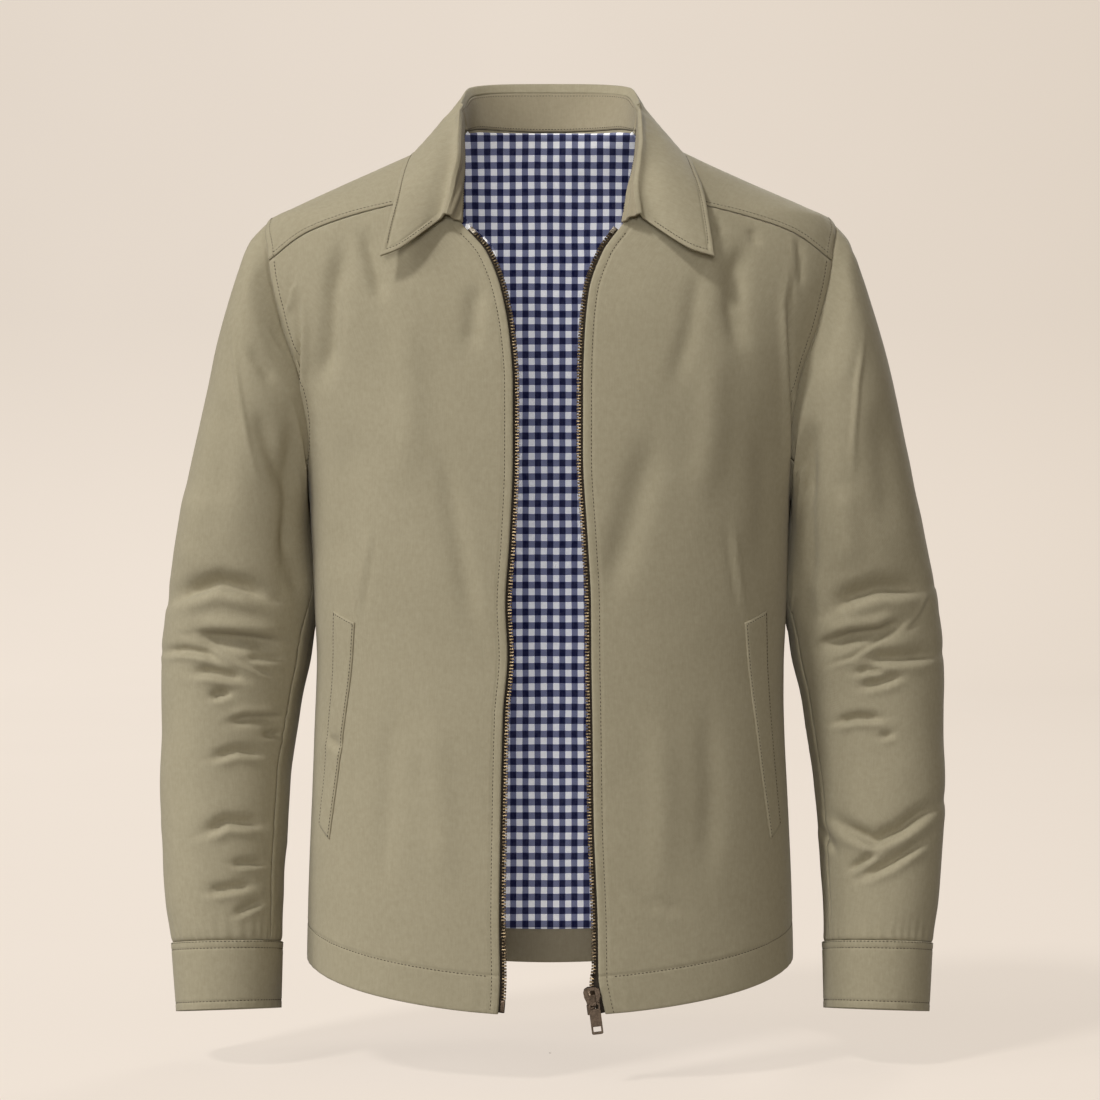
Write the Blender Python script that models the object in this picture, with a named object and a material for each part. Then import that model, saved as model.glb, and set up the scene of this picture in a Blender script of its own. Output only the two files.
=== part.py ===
"""Harrington jacket, worn and unzipped, with no wearer: metres, +Z up, front towards -Y.

The origin is the middle of the neck and shoulder line, where the wearer's shoulders hold it.
"Right" and "left" in names are the wearer's: the wearer's right is at -X.

The body cloth lies on one torso surface, given by an angle round the body (0 at the front
centre, 90 degrees at the wearer's left side, 180 at the back, 270 at the wearer's right side)
and a height. Panels are patches between seam curves on it. Each panel is a wall whose two
faces are the same patch at two depths, so neighbours meet edge to edge.
"""
from collections import namedtuple
from math import acos, asin, cos, exp, pi, sin

import bmesh
import bpy
from mathutils import Matrix, Vector

# ---- driving dimensions -------------------------------------------------------------------
CLOTH = 0.0015             # shell cloth with its interlining
SEAM_GAP = 0.0003          # clear gap between pieces that are sewn edge to edge
LINING_DEPTH = 0.0032      # the lining hangs this far inside the shell's outer face
LINING_CLOTH = 0.0010
TAPE_DEPTH = 0.0020        # zip tape, behind the front edge
TAPE_CLOTH = 0.0008
TAPE_LOWER = 0.0045        # top of the tape below the top of the front edge
TAPE_UNDER = 0.0095        # how far the tape runs in under the front
TAPE_OUT = 0.0020          # how far it stands out past the front edge
CHAIN_IN = 0.0023          # chain of teeth, out from the front edge
CHAIN_OUT = 0.0051
CHAIN_DEPTHS = (0.0010, 0.0036)
COLLAR_CLOTH = 0.0020
SLEEVE_GAP = 0.0005
COLLAR_GAP = 0.0005        # clear gap under the stand, which leans over the cloth in front
CUFF_CLOTH = 0.0020
WELT_LIFT = 0.0007
WELT_CLOTH = 0.0012

HEM_HEIGHT = -0.669        # hem at the front and back centre
HEM_SWEEP = 0.0225         # how much the hem rises towards the sides, as a broad curve
HEM_CORNER = 0.0050        # and how much more right at the sides
FACING_HEIGHT = 0.0300     # turned hem inside
EDGE_TOP = -0.0580         # top of the front edges

ARM_CELLS_YOKE = 3         # cells of the armhole along the yoke, front and back
ARM_CELLS_PANEL = 7        # and along the front or back panel
ARM_CELLS = 2 * (ARM_CELLS_YOKE + ARM_CELLS_PANEL)
UNDER_CELLS = 2            # the under-sleeve reaches this many cells each side of the armpit
SIDE_ROWS = 6              # rows between the armpit and the hem facing
PANEL_ROWS = ARM_CELLS_PANEL + SIDE_ROWS + 1
YOKE_ROWS = 7
FRONT_COLUMNS = YOKE_ROWS  # a front's columns carry on from the yoke's rows
NECK_ROWS = 2              # rows of a front that end at the neckline
BACK_COLUMNS = 10
YOKE_COLUMNS = 4 * ARM_CELLS_YOKE + BACK_COLUMNS
COLLAR_COLUMNS = YOKE_COLUMNS + 2 * NECK_ROWS
YOKE_NECK = 0.18           # where the front yoke seam meets the neckline, as a collar station

RIGHT, LEFT = -1, 1

# ---- tables -------------------------------------------------------------------------------
Ring = namedtuple("Ring", "height half_width front_depth back_depth squareness")
TORSO_RINGS = [
    Ring(-0.700, 0.1970, 0.1250, 0.1300, 2.40),
    Ring(-0.600, 0.1960, 0.1240, 0.1290, 2.40),
    Ring(-0.530, 0.1935, 0.1225, 0.1275, 2.40),
    Ring(-0.480, 0.1910, 0.1215, 0.1260, 2.40),
    Ring(-0.410, 0.1890, 0.1205, 0.1240, 2.40),
    Ring(-0.360, 0.1910, 0.1205, 0.1245, 2.40),
    Ring(-0.300, 0.1930, 0.1200, 0.1265, 2.40),
    Ring(-0.271, 0.1945, 0.1190, 0.1275, 2.40),
    Ring(-0.220, 0.2000, 0.1160, 0.1280, 2.40),
    Ring(-0.175, 0.2130, 0.1115, 0.1270, 2.35),
    Ring(-0.130, 0.2295, 0.1045, 0.1235, 2.35),
    Ring(-0.082, 0.2395, 0.0925, 0.1150, 2.30),
    Ring(-0.062, 0.2365, 0.0855, 0.1095, 2.30),
    Ring(-0.046, 0.2278, 0.0790, 0.1050, 2.30),
    Ring(-0.036, 0.2080, 0.0730, 0.1015, 2.30),
    Ring(-0.020, 0.1731, 0.0620, 0.0950, 2.25),
    Ring(0.0000, 0.1290, 0.0480, 0.0870, 2.20),
    Ring(0.0150, 0.0963, 0.0390, 0.0790, 2.15),
    Ring(0.0265, 0.0710, 0.0320, 0.0745, 2.10),
    Ring(0.0320, 0.0680, 0.0300, 0.0725, 2.10),
    Ring(0.0400, 0.0560, 0.0270, 0.0690, 2.10),
]

# The armhole seen from the side: turn is 0 at the shoulder tip, 0.5 at the armpit.
ArmPoint = namedtuple("ArmPoint", "turn forward height")
ARMHOLE = [
    ArmPoint(0.00, -0.0080, -0.0455),
    ArmPoint(0.05, 0.0120, -0.0490),
    ArmPoint(0.10, 0.0285, -0.0620),
    ArmPoint(0.15, 0.0395, -0.0820),
    ArmPoint(0.27, 0.0475, -0.1320),
    ArmPoint(0.37, 0.0500, -0.1780),
    ArmPoint(0.44, 0.0420, -0.2320),
    ArmPoint(0.50, 0.0000, -0.2710),
    ArmPoint(0.56, -0.0460, -0.2350),
    ArmPoint(0.64, -0.0640, -0.1820),
    ArmPoint(0.74, -0.0650, -0.1320),
    ArmPoint(0.85, -0.0520, -0.0850),
    ArmPoint(0.90, -0.0410, -0.0645),
    ArmPoint(0.95, -0.0255, -0.0510),
    ArmPoint(1.00, -0.0080, -0.0455),
]

# Neckline and collar: station 0 at the front end, 0.5 about the neck's side, 1 at the back.
# across is from the middle, and a front end stands shift further to the wearer's right.
NeckPoint = namedtuple("NeckPoint", "station across height behind shift")
NECKLINE = [
    NeckPoint(0.00, 0.0630, EDGE_TOP, False, 0.0060),
    NeckPoint(0.13, 0.0650, -0.0370, False, 0.0040),
    NeckPoint(0.26, 0.0672, -0.0150, False, 0.0015),
    NeckPoint(0.38, 0.0695, 0.0070, False, 0.0),
    NeckPoint(0.50, 0.0710, 0.0265, False, 0.0),
    NeckPoint(0.60, 0.0675, 0.0305, True, 0.0),
    NeckPoint(0.70, 0.0580, 0.0345, True, 0.0),
    NeckPoint(0.82, 0.0400, 0.0367, True, 0.0),
    NeckPoint(0.91, 0.0210, 0.0377, True, 0.0),
    NeckPoint(1.00, 0.0000, 0.0380, True, 0.0),
]
FoldPoint = namedtuple("FoldPoint", "station across back height shift stand_share")
COLLAR_FOLD = [
    FoldPoint(0.00, 0.0752, -0.0930, -0.0512, 0.0060, 0.88),
    FoldPoint(0.13, 0.0705, -0.0810, -0.0255, 0.0045, 0.86),
    FoldPoint(0.26, 0.0700, -0.0640, -0.0025, 0.0010, 0.82),
    FoldPoint(0.38, 0.0715, -0.0410, 0.0170, 0.0, 0.76),
    FoldPoint(0.50, 0.0711, -0.0100, 0.0440, 0.0, 0.72),
    FoldPoint(0.60, 0.0698, 0.0200, 0.0585, 0.0, 0.74),
    FoldPoint(0.70, 0.0665, 0.0480, 0.0715, 0.0, 0.77),
    FoldPoint(0.82, 0.0500, 0.0700, 0.0785, 0.0, 0.79),
    FoldPoint(0.91, 0.0270, 0.0790, 0.0810, 0.0, 0.79),
    FoldPoint(1.00, 0.0000, 0.0820, 0.0817, 0.0, 0.79),
]
EdgePoint = namedtuple("EdgePoint", "station across height behind lift shift")
COLLAR_EDGE = [
    EdgePoint(0.00, 0.1265, -0.0890, False, 0.0130, 0.0020),
    EdgePoint(0.13, 0.1232, -0.0640, False, 0.0090, 0.0010),
    EdgePoint(0.26, 0.1188, -0.0360, False, 0.0060, 0.0),
    EdgePoint(0.38, 0.1140, -0.0100, False, 0.0045, 0.0015),
    EdgePoint(0.47, 0.1110, 0.0074, False, 0.0042, 0.0022),
    EdgePoint(0.58, 0.1012, 0.0105, True, 0.0042, 0.0020),
    EdgePoint(0.72, 0.0755, 0.0175, True, 0.0042, 0.0010),
    EdgePoint(0.86, 0.0400, 0.0242, True, 0.0042, 0.0),
    EdgePoint(1.00, 0.0000, 0.0270, True, 0.0042, 0.0),
]
FOLD_ROLL = 0.0066         # how wide the collar's fold is, outer face to outer face
FOLD_DROP = 0.0040
LEAF_CROWN = 0.0030        # how far the leaf bows out between its fold and its edge

# Front yoke seam, from the neckline to the armhole.
SeamPoint = namedtuple("SeamPoint", "share across height")
YOKE_FRONT = [
    SeamPoint(0.00, 0.0660, -0.0285),
    SeamPoint(0.37, 0.1240, -0.0414),
    SeamPoint(0.59, 0.1585, -0.0504),
    SeamPoint(0.80, 0.1914, -0.0620),
    SeamPoint(1.00, 0.2223, -0.0820),
]
YOKE_BACK_HEIGHT = -0.0780

# The two front edges hang a little differently, and each waves slightly.
EdgeRow = namedtuple("EdgeRow", "height right left")
FRONT_EDGE = [
    EdgeRow(-0.6750, 0.0405, 0.0440),
    EdgeRow(-0.6560, 0.0388, 0.0395),
    EdgeRow(-0.6400, 0.0382, 0.0368),
    EdgeRow(-0.6000, 0.0388, 0.0362),
    EdgeRow(-0.5200, 0.0378, 0.0332),
    EdgeRow(-0.4400, 0.0360, 0.0322),
    EdgeRow(-0.3950, 0.0325, 0.0315),
    EdgeRow(-0.3550, 0.0342, 0.0313),
    EdgeRow(-0.3050, 0.0310, 0.0288),
    EdgeRow(-0.2400, 0.0285, 0.0252),
    EdgeRow(-0.1850, 0.0286, 0.0254),
    EdgeRow(-0.1500, 0.0310, 0.0265),
    EdgeRow(-0.1130, 0.0375, 0.0300),
    EdgeRow(-0.0820, 0.0490, 0.0405),
    EdgeRow(EDGE_TOP, 0.0690, 0.0570),
]
CHAIN_SHY = 0.0029         # at the left hem the chain keeps this much more away from the edge
CHAIN_SHY_HEIGHTS = (-0.630, -0.650)
# Heights at which a front's rows below the neckline meet its edge.
ZIP_ROWS = (EDGE_TOP, -0.0730, -0.0930, -0.1210, -0.1610, -0.2150,
            -0.2850, -0.3550, -0.4250, -0.4950, -0.5650)

# Sleeve guides by the run down the arm: outer and inner points in the front view, and the
# front-most and back-most places. The first row is the armhole.
SleeveRow = namedtuple("SleeveRow", "run outer_x outer_z inner_x inner_z front back")
SLEEVE_ROWS = [
    SleeveRow(0.000, 0.2278, -0.0455, 0.1945, -0.2710, -0.0520, 0.0650),
    SleeveRow(0.012, 0.2418, -0.0620, 0.1970, -0.2740, -0.0600, 0.0715),
    SleeveRow(0.030, 0.2498, -0.0830, 0.1980, -0.2780, -0.0660, 0.0765),
    SleeveRow(0.055, 0.2597, -0.1130, 0.1975, -0.2830, -0.0690, 0.0800),
    SleeveRow(0.085, 0.2722, -0.1560, 0.1965, -0.2910, -0.0690, 0.0810),
    SleeveRow(0.120, 0.2845, -0.2110, 0.1950, -0.3030, -0.0660, 0.0800),
    SleeveRow(0.160, 0.2962, -0.2680, 0.1935, -0.3220, -0.0610, 0.0780),
    SleeveRow(0.200, 0.3050, -0.3130, 0.1915, -0.3430, -0.0560, 0.0760),
    SleeveRow(0.228, 0.3108, -0.3430, 0.1912, -0.3640, -0.0530, 0.0745),
    SleeveRow(0.252, 0.3136, -0.3680, 0.1935, -0.3830, -0.0515, 0.0730),
    SleeveRow(0.274, 0.3160, -0.3920, 0.1955, -0.4020, -0.0505, 0.0712),
    SleeveRow(0.300, 0.3162, -0.4210, 0.2010, -0.4280, -0.0500, 0.0685),
    SleeveRow(0.335, 0.3160, -0.4580, 0.2060, -0.4610, -0.0512, 0.0635),
    SleeveRow(0.370, 0.3168, -0.4940, 0.2108, -0.4945, -0.0535, 0.0565),
    SleeveRow(0.403, 0.3154, -0.5280, 0.2130, -0.5270, -0.0565, 0.0490),
    SleeveRow(0.440, 0.3122, -0.5660, 0.2150, -0.5640, -0.0602, 0.0400),
    SleeveRow(0.475, 0.3083, -0.6000, 0.2160, -0.5985, -0.0637, 0.0315),
    SleeveRow(0.505, 0.3031, -0.6290, 0.2165, -0.6275, -0.0660, 0.0245),
]
CUFF_ROWS = [
    SleeveRow(0.505, 0.3031, -0.6290, 0.2165, -0.6275, -0.0660, 0.0245),
    SleeveRow(0.533, 0.3010, -0.6560, 0.2165, -0.6540, -0.0675, 0.0195),
    SleeveRow(0.561, 0.2988, -0.6830, 0.2168, -0.6800, -0.0680, 0.0145),
]
SLEEVE_SQUARENESS = 2.15
ARMHOLE_FADE = 0.11        # run over which the armhole's own shape fades into the plain oval
LEFT_SLEEVE_OUT = 0.0040   # the left sleeve hangs this much further out
FOREARM_TILT = 0.19        # the forearm leans forward: its rings rise this much towards the front
FOREARM_RUNS = (0.30, 0.44)
SLEEVE_CLEAR = 0.0012      # the sleeve stays this far clear of the body's side

# The largest folds: a ridge (rise > 0) or trough along a line in the front view.
Fold = namedtuple("Fold", "behind top_x top_z low_x low_z width rise")
TORSO_FOLDS = [
    Fold(False, -0.1880, -0.1500, -0.1900, -0.3000, 0.022, 0.0040),
    Fold(False, -0.1600, -0.0900, -0.1650, -0.2000, 0.016, -0.0030),
    Fold(False, 0.1880, -0.1500, 0.1880, -0.3000, 0.022, 0.0040),
    Fold(False, 0.1620, -0.1000, 0.1680, -0.2100, 0.016, -0.0025),
    Fold(False, 0.0700, -0.2400, 0.0450, -0.3600, 0.030, -0.0030),
    Fold(True, -0.1500, -0.1300, -0.1300, -0.3000, 0.026, -0.0030),
    Fold(True, 0.1500, -0.1300, 0.1250, -0.3200, 0.026, -0.0030),
    Fold(True, 0.0300, -0.4000, -0.0200, -0.5200, 0.040, -0.0030),
]
FOLD_FADE = 0.35           # folds fade in over this cosine of the angle from the sides
SleeveFold = namedtuple("SleeveFold", "side outer_run inner_run width rise")
SLEEVE_FOLDS = [
    SleeveFold(RIGHT, 0.262, 0.268, 0.010, -0.0035),
    SleeveFold(RIGHT, 0.292, 0.310, 0.010, -0.0025),
    SleeveFold(LEFT, 0.240, 0.266, 0.010, -0.0035),
    SleeveFold(LEFT, 0.276, 0.290, 0.010, -0.0030),
    SleeveFold(LEFT, 0.400, 0.412, 0.014, -0.0030),
]

# Pocket welts on a front, by the front's own columns and rows, from 0 to 1.
WELT_COLUMNS = 3
WELT_ROWS = 10
WeltEnd = namedtuple("WeltEnd", "outer_u outer_v inner_u inner_v")
WELT_TOP = WeltEnd(0.330, 0.632, 0.4625, 0.646)
WELT_LOW = WeltEnd(0.255, 0.830, 0.346, 0.840)

# Zip ends at the left hem, upright then turned about -Y so that their feet lean outwards.
ZIP_LEAN = 7.4 * pi / 180
SLIDER_MIDDLE = (0.0322, -0.6535)
SLIDER_WIDTH = 0.0130
SLIDER_LENGTH = 0.0130
PLATE = 0.0012
SLIDER_FRONT = 0.0006      # depth of the front plate's back face behind the cloth's outer face
SLIDER_BACK = 0.0040
NECK_WIDTH = 0.0030
BRIDGE_WIDTH = 0.0046
BRIDGE_WALL = 0.0011
BRIDGE_LOW = -0.0083       # foot of the bridge below the slider's middle
BRIDGE_TOP = 0.0048
BRIDGE_STAND = 0.0038      # outer face of the bridge in front of the plate
PIVOT_STAND = 0.0014       # the tab's bar in front of the plate
TAB_WIDTH = 0.0088
TAB_LENGTH = 0.0240
TAB_WALL = 0.0013
TAB_BAR = 0.0014
TAB_EYE = (0.0060, 0.0039)         # eye round the bridge: width, and reach below the bar
TAB_SLOT = (0.0059, 0.0039)
TAB_SLOT_UP = 0.0020               # slot's lower edge above the tab's foot
BOX_REACH = (-0.0053, 0.0012)      # retainer box across the chain line
BOX_LENGTH = 0.0076
BOX_DEPTHS = (0.0002, 0.0046)
STOP_LENGTH = 0.0045
PIN_LENGTH = 0.0110

COLOURS = {
    "sage_cloth": ((0.335, 0.290, 0.190), 0.85, 0.0),
    "check_lining": ((0.150, 0.155, 0.270), 0.80, 0.0),
    "dark_tape": ((0.040, 0.034, 0.028), 0.90, 0.0),
    "bronze": ((0.100, 0.075, 0.055), 0.38, 0.9),
}


# ---- curves -------------------------------------------------------------------------------
class Smooth:
    """A cubic through (key, value) pairs that never overshoots between them."""

    def __init__(self, keys, values):
        pairs = sorted(zip(keys, values))
        self.keys = [key for key, _ in pairs]
        self.values = [value for _, value in pairs]
        steps = [(v1 - v0) / (k1 - k0) for (k0, v0), (k1, v1) in zip(pairs, pairs[1:])]
        self.slopes = [steps[0]]
        for before, after in zip(steps, steps[1:]):
            level = before * after <= 0
            self.slopes.append(0.0 if level else 2 * before * after / (before + after))
        self.slopes.append(steps[-1])

    def __call__(self, key):
        last = len(self.keys) - 1
        i = 0
        while i < last - 1 and key > self.keys[i + 1]:
            i += 1
        span = self.keys[i + 1] - self.keys[i]
        t = min(max((key - self.keys[i]) / span, 0.0), 1.0)
        ease = t * t * (3 - 2 * t)
        start = self.slopes[i] * span * t * (1 - t) ** 2
        end = self.slopes[i + 1] * span * t * t * (t - 1)
        return self.values[i] * (1 - ease) + self.values[i + 1] * ease + start + end


def columns_of(rows):
    """One Smooth curve for each number column after the first, by column name."""
    keys = [row[0] for row in rows]
    names = rows[0]._fields[1:]
    return {name: Smooth(keys, [float(getattr(row, name)) for row in rows]) for name in names}


TORSO = columns_of(TORSO_RINGS)
ARM = columns_of(ARMHOLE)
NECK = columns_of(NECKLINE)
FOLD = columns_of(COLLAR_FOLD)
LEAF_EDGE = columns_of(COLLAR_EDGE)
YOKE_SEAM = columns_of(YOKE_FRONT)
EDGE = columns_of(FRONT_EDGE)


def ease(t):
    """0 to 1 with level ends."""
    t = min(max(t, 0.0), 1.0)
    return t * t * (3 - 2 * t)


def mix(a, b, t):
    return a + (b - a) * t


def power(value, exponent):
    """A power that keeps the sign."""
    return abs(value) ** exponent * (1 if value >= 0 else -1)


# ---- the torso surface --------------------------------------------------------------------
def torso_angle(across, height, behind=False):
    """Angle of the torso point that lies `across` from the middle at this height."""
    share = min(abs(across) / TORSO["half_width"](height), 1.0)
    angle = asin(share ** (TORSO["squareness"](height) / 2))
    if behind:
        angle = pi - angle
    return angle if across >= 0 else 2 * pi - angle


def torso_side_angle(side, forward, height):
    """Angle of the torso point on one side that lies `forward` of the middle."""
    depth = TORSO["front_depth" if forward > 0 else "back_depth"](height)
    angle = acos(power(forward / depth, TORSO["squareness"](height) / 2))
    return angle if side > 0 else 2 * pi - angle


def fold_height(point, angle):
    """Rise of the large folds at a point of the plain torso; they fade out at the sides."""
    rise = 0.0
    for fold in TORSO_FOLDS:
        if fold.behind != (cos(angle) < 0):
            continue
        top = Vector((fold.top_x, fold.top_z))
        run = Vector((fold.low_x, fold.low_z)) - top
        away = Vector((point.x, point.z)) - top
        share = min(max(away.dot(run) / run.length_squared, 0.0), 1.0)
        distance = (away - run * share).length
        rise += fold.rise * exp(-(distance / fold.width) ** 2) * sin(pi * mix(0.15, 0.85, share))
    return rise * ease(abs(cos(angle)) / FOLD_FADE)


def plain_torso(angle, height):
    half = TORSO["half_width"](height)
    depth = TORSO["front_depth" if cos(angle) > 0 else "back_depth"](height)
    exponent = 2 / TORSO["squareness"](height)
    return Vector((half * power(sin(angle), exponent), -depth * power(cos(angle), exponent), height))


def torso_normal(angle, height):
    step = 0.004
    around = plain_torso(angle + step, height) - plain_torso(angle - step, height)
    up = plain_torso(angle, height + step) - plain_torso(angle, height - step)
    return around.cross(up).normalized()


def torso(angle, height, depth=0.0):
    """Point of the body cloth, `depth` inside its outer face."""
    point = plain_torso(angle, height)
    out = fold_height(point, angle) - depth
    return point + torso_normal(angle, height) * out


def hem_height(angle):
    side = abs(sin(angle))
    return HEM_HEIGHT + HEM_SWEEP * side ** 1.5 + HEM_CORNER * side ** 8


# ---- seam curves, as (angle, height) on the torso -----------------------------------------
def armhole(side, turn):
    height = ARM["height"](turn)
    return torso_side_angle(side, ARM["forward"](turn), height), height


def neckline(side, station):
    """A point of the neckline on one side."""
    height = NECK["height"](station)
    across = side * NECK["across"](station) - NECK["shift"](station)
    behind = station > 0.5
    angle = torso_angle(across, height, behind)
    if station == 1.0:
        angle = pi
    return angle, height


def yoke_front_seam(side, share):
    """Front yoke seam from the neckline (0) to the armhole (1)."""
    start = neckline(side, YOKE_NECK)
    end = armhole(side, 0.15)
    height = YOKE_SEAM["height"](share)
    angle = torso_angle(side * YOKE_SEAM["across"](share), height)
    # the plain seam is eased onto its two ends
    fix_start = (start[0] - torso_angle(side * YOKE_SEAM["across"](0), YOKE_SEAM["height"](0)),
                 start[1] - YOKE_SEAM["height"](0))
    fix_end = (end[0] - torso_angle(side * YOKE_SEAM["across"](1), YOKE_SEAM["height"](1)),
               end[1] - YOKE_SEAM["height"](1))
    return (angle + mix(fix_start[0], fix_end[0], share),
            height + mix(fix_start[1], fix_end[1], share))


def front_edge(side, height):
    """Front edge, where the zip is sewn in."""
    across = side * EDGE["right" if side == RIGHT else "left"](height)
    return torso_angle(across, height), height


def coons(top, bottom, start, end, u, v):
    """Patch between four (angle, height) curves that meet at their corners."""
    corners = (mix(mix(start(0)[i], end(0)[i], u), mix(start(1)[i], end(1)[i], u), v)
               for i in (0, 1))
    return tuple(mix(top(u)[i], bottom(u)[i], v) + mix(start(v)[i], end(v)[i], u) - corner
                 for i, corner in zip((0, 1), corners))


ARM_SHARE = ARM_CELLS_PANEL / PANEL_ROWS
FACING_SHARE = (PANEL_ROWS - 1) / PANEL_ROWS


def side_seam(side, v, front):
    """Outer edge of a front or back panel: the armhole, then the side seam."""
    if v <= ARM_SHARE:
        turn = mix(0.15, 0.5, v / ARM_SHARE)
        return armhole(side, turn if front else 1 - turn)
    straight = pi / 2 if side > 0 else 3 * pi / 2
    pit = ARM["height"](0.5)
    foot = hem_height(straight)
    if v <= FACING_SHARE:
        share = (v - ARM_SHARE) / (FACING_SHARE - ARM_SHARE)
        return straight, mix(pit, foot + FACING_HEIGHT, share)
    return straight, mix(foot + FACING_HEIGHT, foot, (v - FACING_SHARE) / (1 - FACING_SHARE))


def front_panel(side, u, v):
    """(angle, height) on a front: u from the side seam to the zip, v from the yoke to the hem."""

    def hem(share):
        angle = mix(side_seam(side, 1, True)[0], front_edge(side, HEM_HEIGHT)[0], share)
        return angle, hem_height(angle)

    def neck_and_zip(share):
        row = share * PANEL_ROWS
        if row <= NECK_ROWS:
            return neckline(side, mix(YOKE_NECK, 0.0, row / NECK_ROWS))
        foot = hem(1)[1]
        heights = [*ZIP_ROWS, foot + FACING_HEIGHT, foot]
        return front_edge(side, run_at(heights, (row - NECK_ROWS) / (PANEL_ROWS - NECK_ROWS)))

    return coons(lambda share: yoke_front_seam(side, 1 - share), hem,
                 lambda share: side_seam(side, share, True), neck_and_zip, u, v)


def back_panel(u, v):
    """(angle, height) on the back: u from the wearer's right to left, v from yoke to hem."""

    def top(share):
        ends = [armhole(side, 0.85) for side in (RIGHT, LEFT)]
        angle = mix(ends[0][0], ends[1][0], share)
        return angle, mix(YOKE_BACK_HEIGHT, ends[0][1], abs(2 * share - 1) ** 2)

    def hem(share):
        angle = mix(3 * pi / 2, pi / 2, share)
        return angle, hem_height(angle)

    return coons(top, hem, lambda share: side_seam(RIGHT, share, False),
                 lambda share: side_seam(LEFT, share, False), u, v)


def yoke_patch(u, v):
    """(angle, height) on the yoke: u round the neck from the right front, v outwards."""
    side = RIGHT if u <= 0.5 else LEFT
    count = min(u, 1 - u) * YOKE_COLUMNS
    fraction = count / ARM_CELLS_YOKE

    def neck(_):
        if fraction <= 1:
            return neckline(side, mix(YOKE_NECK, 0.5, fraction))
        reach = YOKE_COLUMNS / 2 - ARM_CELLS_YOKE
        return neckline(side, mix(0.5, 1.0, (count - ARM_CELLS_YOKE) / reach))

    def outer(_):
        if fraction <= 1:
            return armhole(side, mix(0.15, 0.0, fraction))
        if fraction <= 2:
            return armhole(side, mix(1.0, 0.85, fraction - 1))
        share = (count - 2 * ARM_CELLS_YOKE) / BACK_COLUMNS
        return back_panel(share if side == RIGHT else 1 - share, 0)

    # the straight line from neck to outer edge, bent near the front to the front yoke seam
    inner_point, outer_point = neck(u), outer(u)
    line = tuple(mix(inner_point[i], outer_point[i], v) for i in (0, 1))
    seam, seam_in, seam_out = (yoke_front_seam(side, share) for share in (v, 0, 1))
    weight = max(1 - fraction / 2, 0.0)
    return tuple(line[i] + weight * (seam[i] - mix(seam_in[i], seam_out[i], v)) for i in (0, 1))


# ---- sleeves ------------------------------------------------------------------------------
def sleeve_oval(columns, side, turn, run):
    """The plain oval of a sleeve through its outer, front, inner and back guides."""
    row = {name: curve(run) for name, curve in columns.items()}
    angle = 2 * pi * turn
    round_out = 2 / SLEEVE_SQUARENESS
    along, across = power(cos(angle), round_out), power(sin(angle), round_out)
    middle = Vector((row["outer_x"] + row["inner_x"], row["front"] + row["back"],
                     row["outer_z"] + row["inner_z"])) / 2
    reach = Vector((row["outer_x"] - row["inner_x"], 0, row["outer_z"] - row["inner_z"])) / 2
    start, full = FOREARM_RUNS
    tilt = FOREARM_TILT * ease((run - start) / (full - start))
    girth = row["back"] - row["front"]
    depth = Vector((0, -girth, girth * tilt)) / 2
    point = middle + reach * along + depth * across
    if side == LEFT:
        outside, inside = ease(run / 0.3), ease((run - 0.22) / 0.08)
        point.x += LEFT_SLEEVE_OUT * mix(inside, outside, (1 + along) / 2)
    point.x *= side
    return point


SLEEVE = columns_of(SLEEVE_ROWS)
CUFF = columns_of(CUFF_ROWS)


def sleeve_crease(side, turn, run):
    """Rise of the large sleeve folds, which fade out towards the back."""
    across = (1 + cos(2 * pi * turn)) / 2
    rise = 0.0
    for fold in SLEEVE_FOLDS:
        if fold.side == side:
            away = (run - mix(fold.inner_run, fold.outer_run, across)) / fold.width
            rise += fold.rise * exp(-away * away)
    return rise * mix(0.45, 1.0, (1 + sin(2 * pi * turn)) / 2)


def plain_sleeve(side, turn, run):
    point = sleeve_oval(SLEEVE, side, turn, run)
    if run < ARMHOLE_FADE:
        own = torso(*armhole(side, turn % 1.0)) - sleeve_oval(SLEEVE, side, turn, 0)
        point += own * (1 - ease(run / ARMHOLE_FADE))
    return clear_of_body(side, point, run) if run > 0 else point


def clear_of_body(side, point, run):
    """Push a sleeve's point sideways until it is clear of the body."""
    depth = TORSO["front_depth" if point.y < 0 else "back_depth"](point.z)
    exponent = TORSO["squareness"](point.z)
    inside = max(1 - abs(point.y / depth) ** exponent, 0.0)
    wall = TORSO["half_width"](point.z) * inside ** (1 / exponent)
    clear = wall + SLEEVE_CLEAR * ease(run / 0.012)
    return Vector((side * max(side * point.x, clear), point.y, point.z))


def tube_normal(surface, side, turn, run):
    step = 0.003
    around = surface(side, turn + step, run) - surface(side, turn - step, run)
    along = surface(side, turn, run + step) - surface(side, turn, max(run - step, 0))
    return around.cross(along).normalized() * side


def sleeve_rim(side, turn, depth):
    """Point of the sleeve's first row, in the armhole and a seam gap from its edge."""
    seam = torso(*armhole(side, turn % 1.0))
    body = torso_normal(*armhole(side, turn % 1.0))
    step = 0.01
    along = torso(*armhole(side, (turn + step) % 1.0)) - torso(*armhole(side, (turn - step) % 1.0))
    hole = along.cross(body).normalized()
    middle = Vector((seam.x, 0, -0.16))
    if hole.dot(middle - seam) < 0:
        hole = -hole
    inward = -tube_normal(plain_sleeve, side, turn, 0.006)
    lean = inward.dot(hole)
    if lean < 0:
        inward = (inward - hole * lean).normalized()
    return seam + hole * SEAM_GAP + inward * depth


def sleeve(side, turn, run, depth=0.0):
    """Point of a sleeve, `depth` inside its outer face."""
    if run == 0:
        return sleeve_rim(side, turn, depth)
    own = tube_normal(plain_sleeve, side, turn, run)
    return plain_sleeve(side, turn, run) + own * (sleeve_crease(side, turn, run) - depth)


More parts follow.
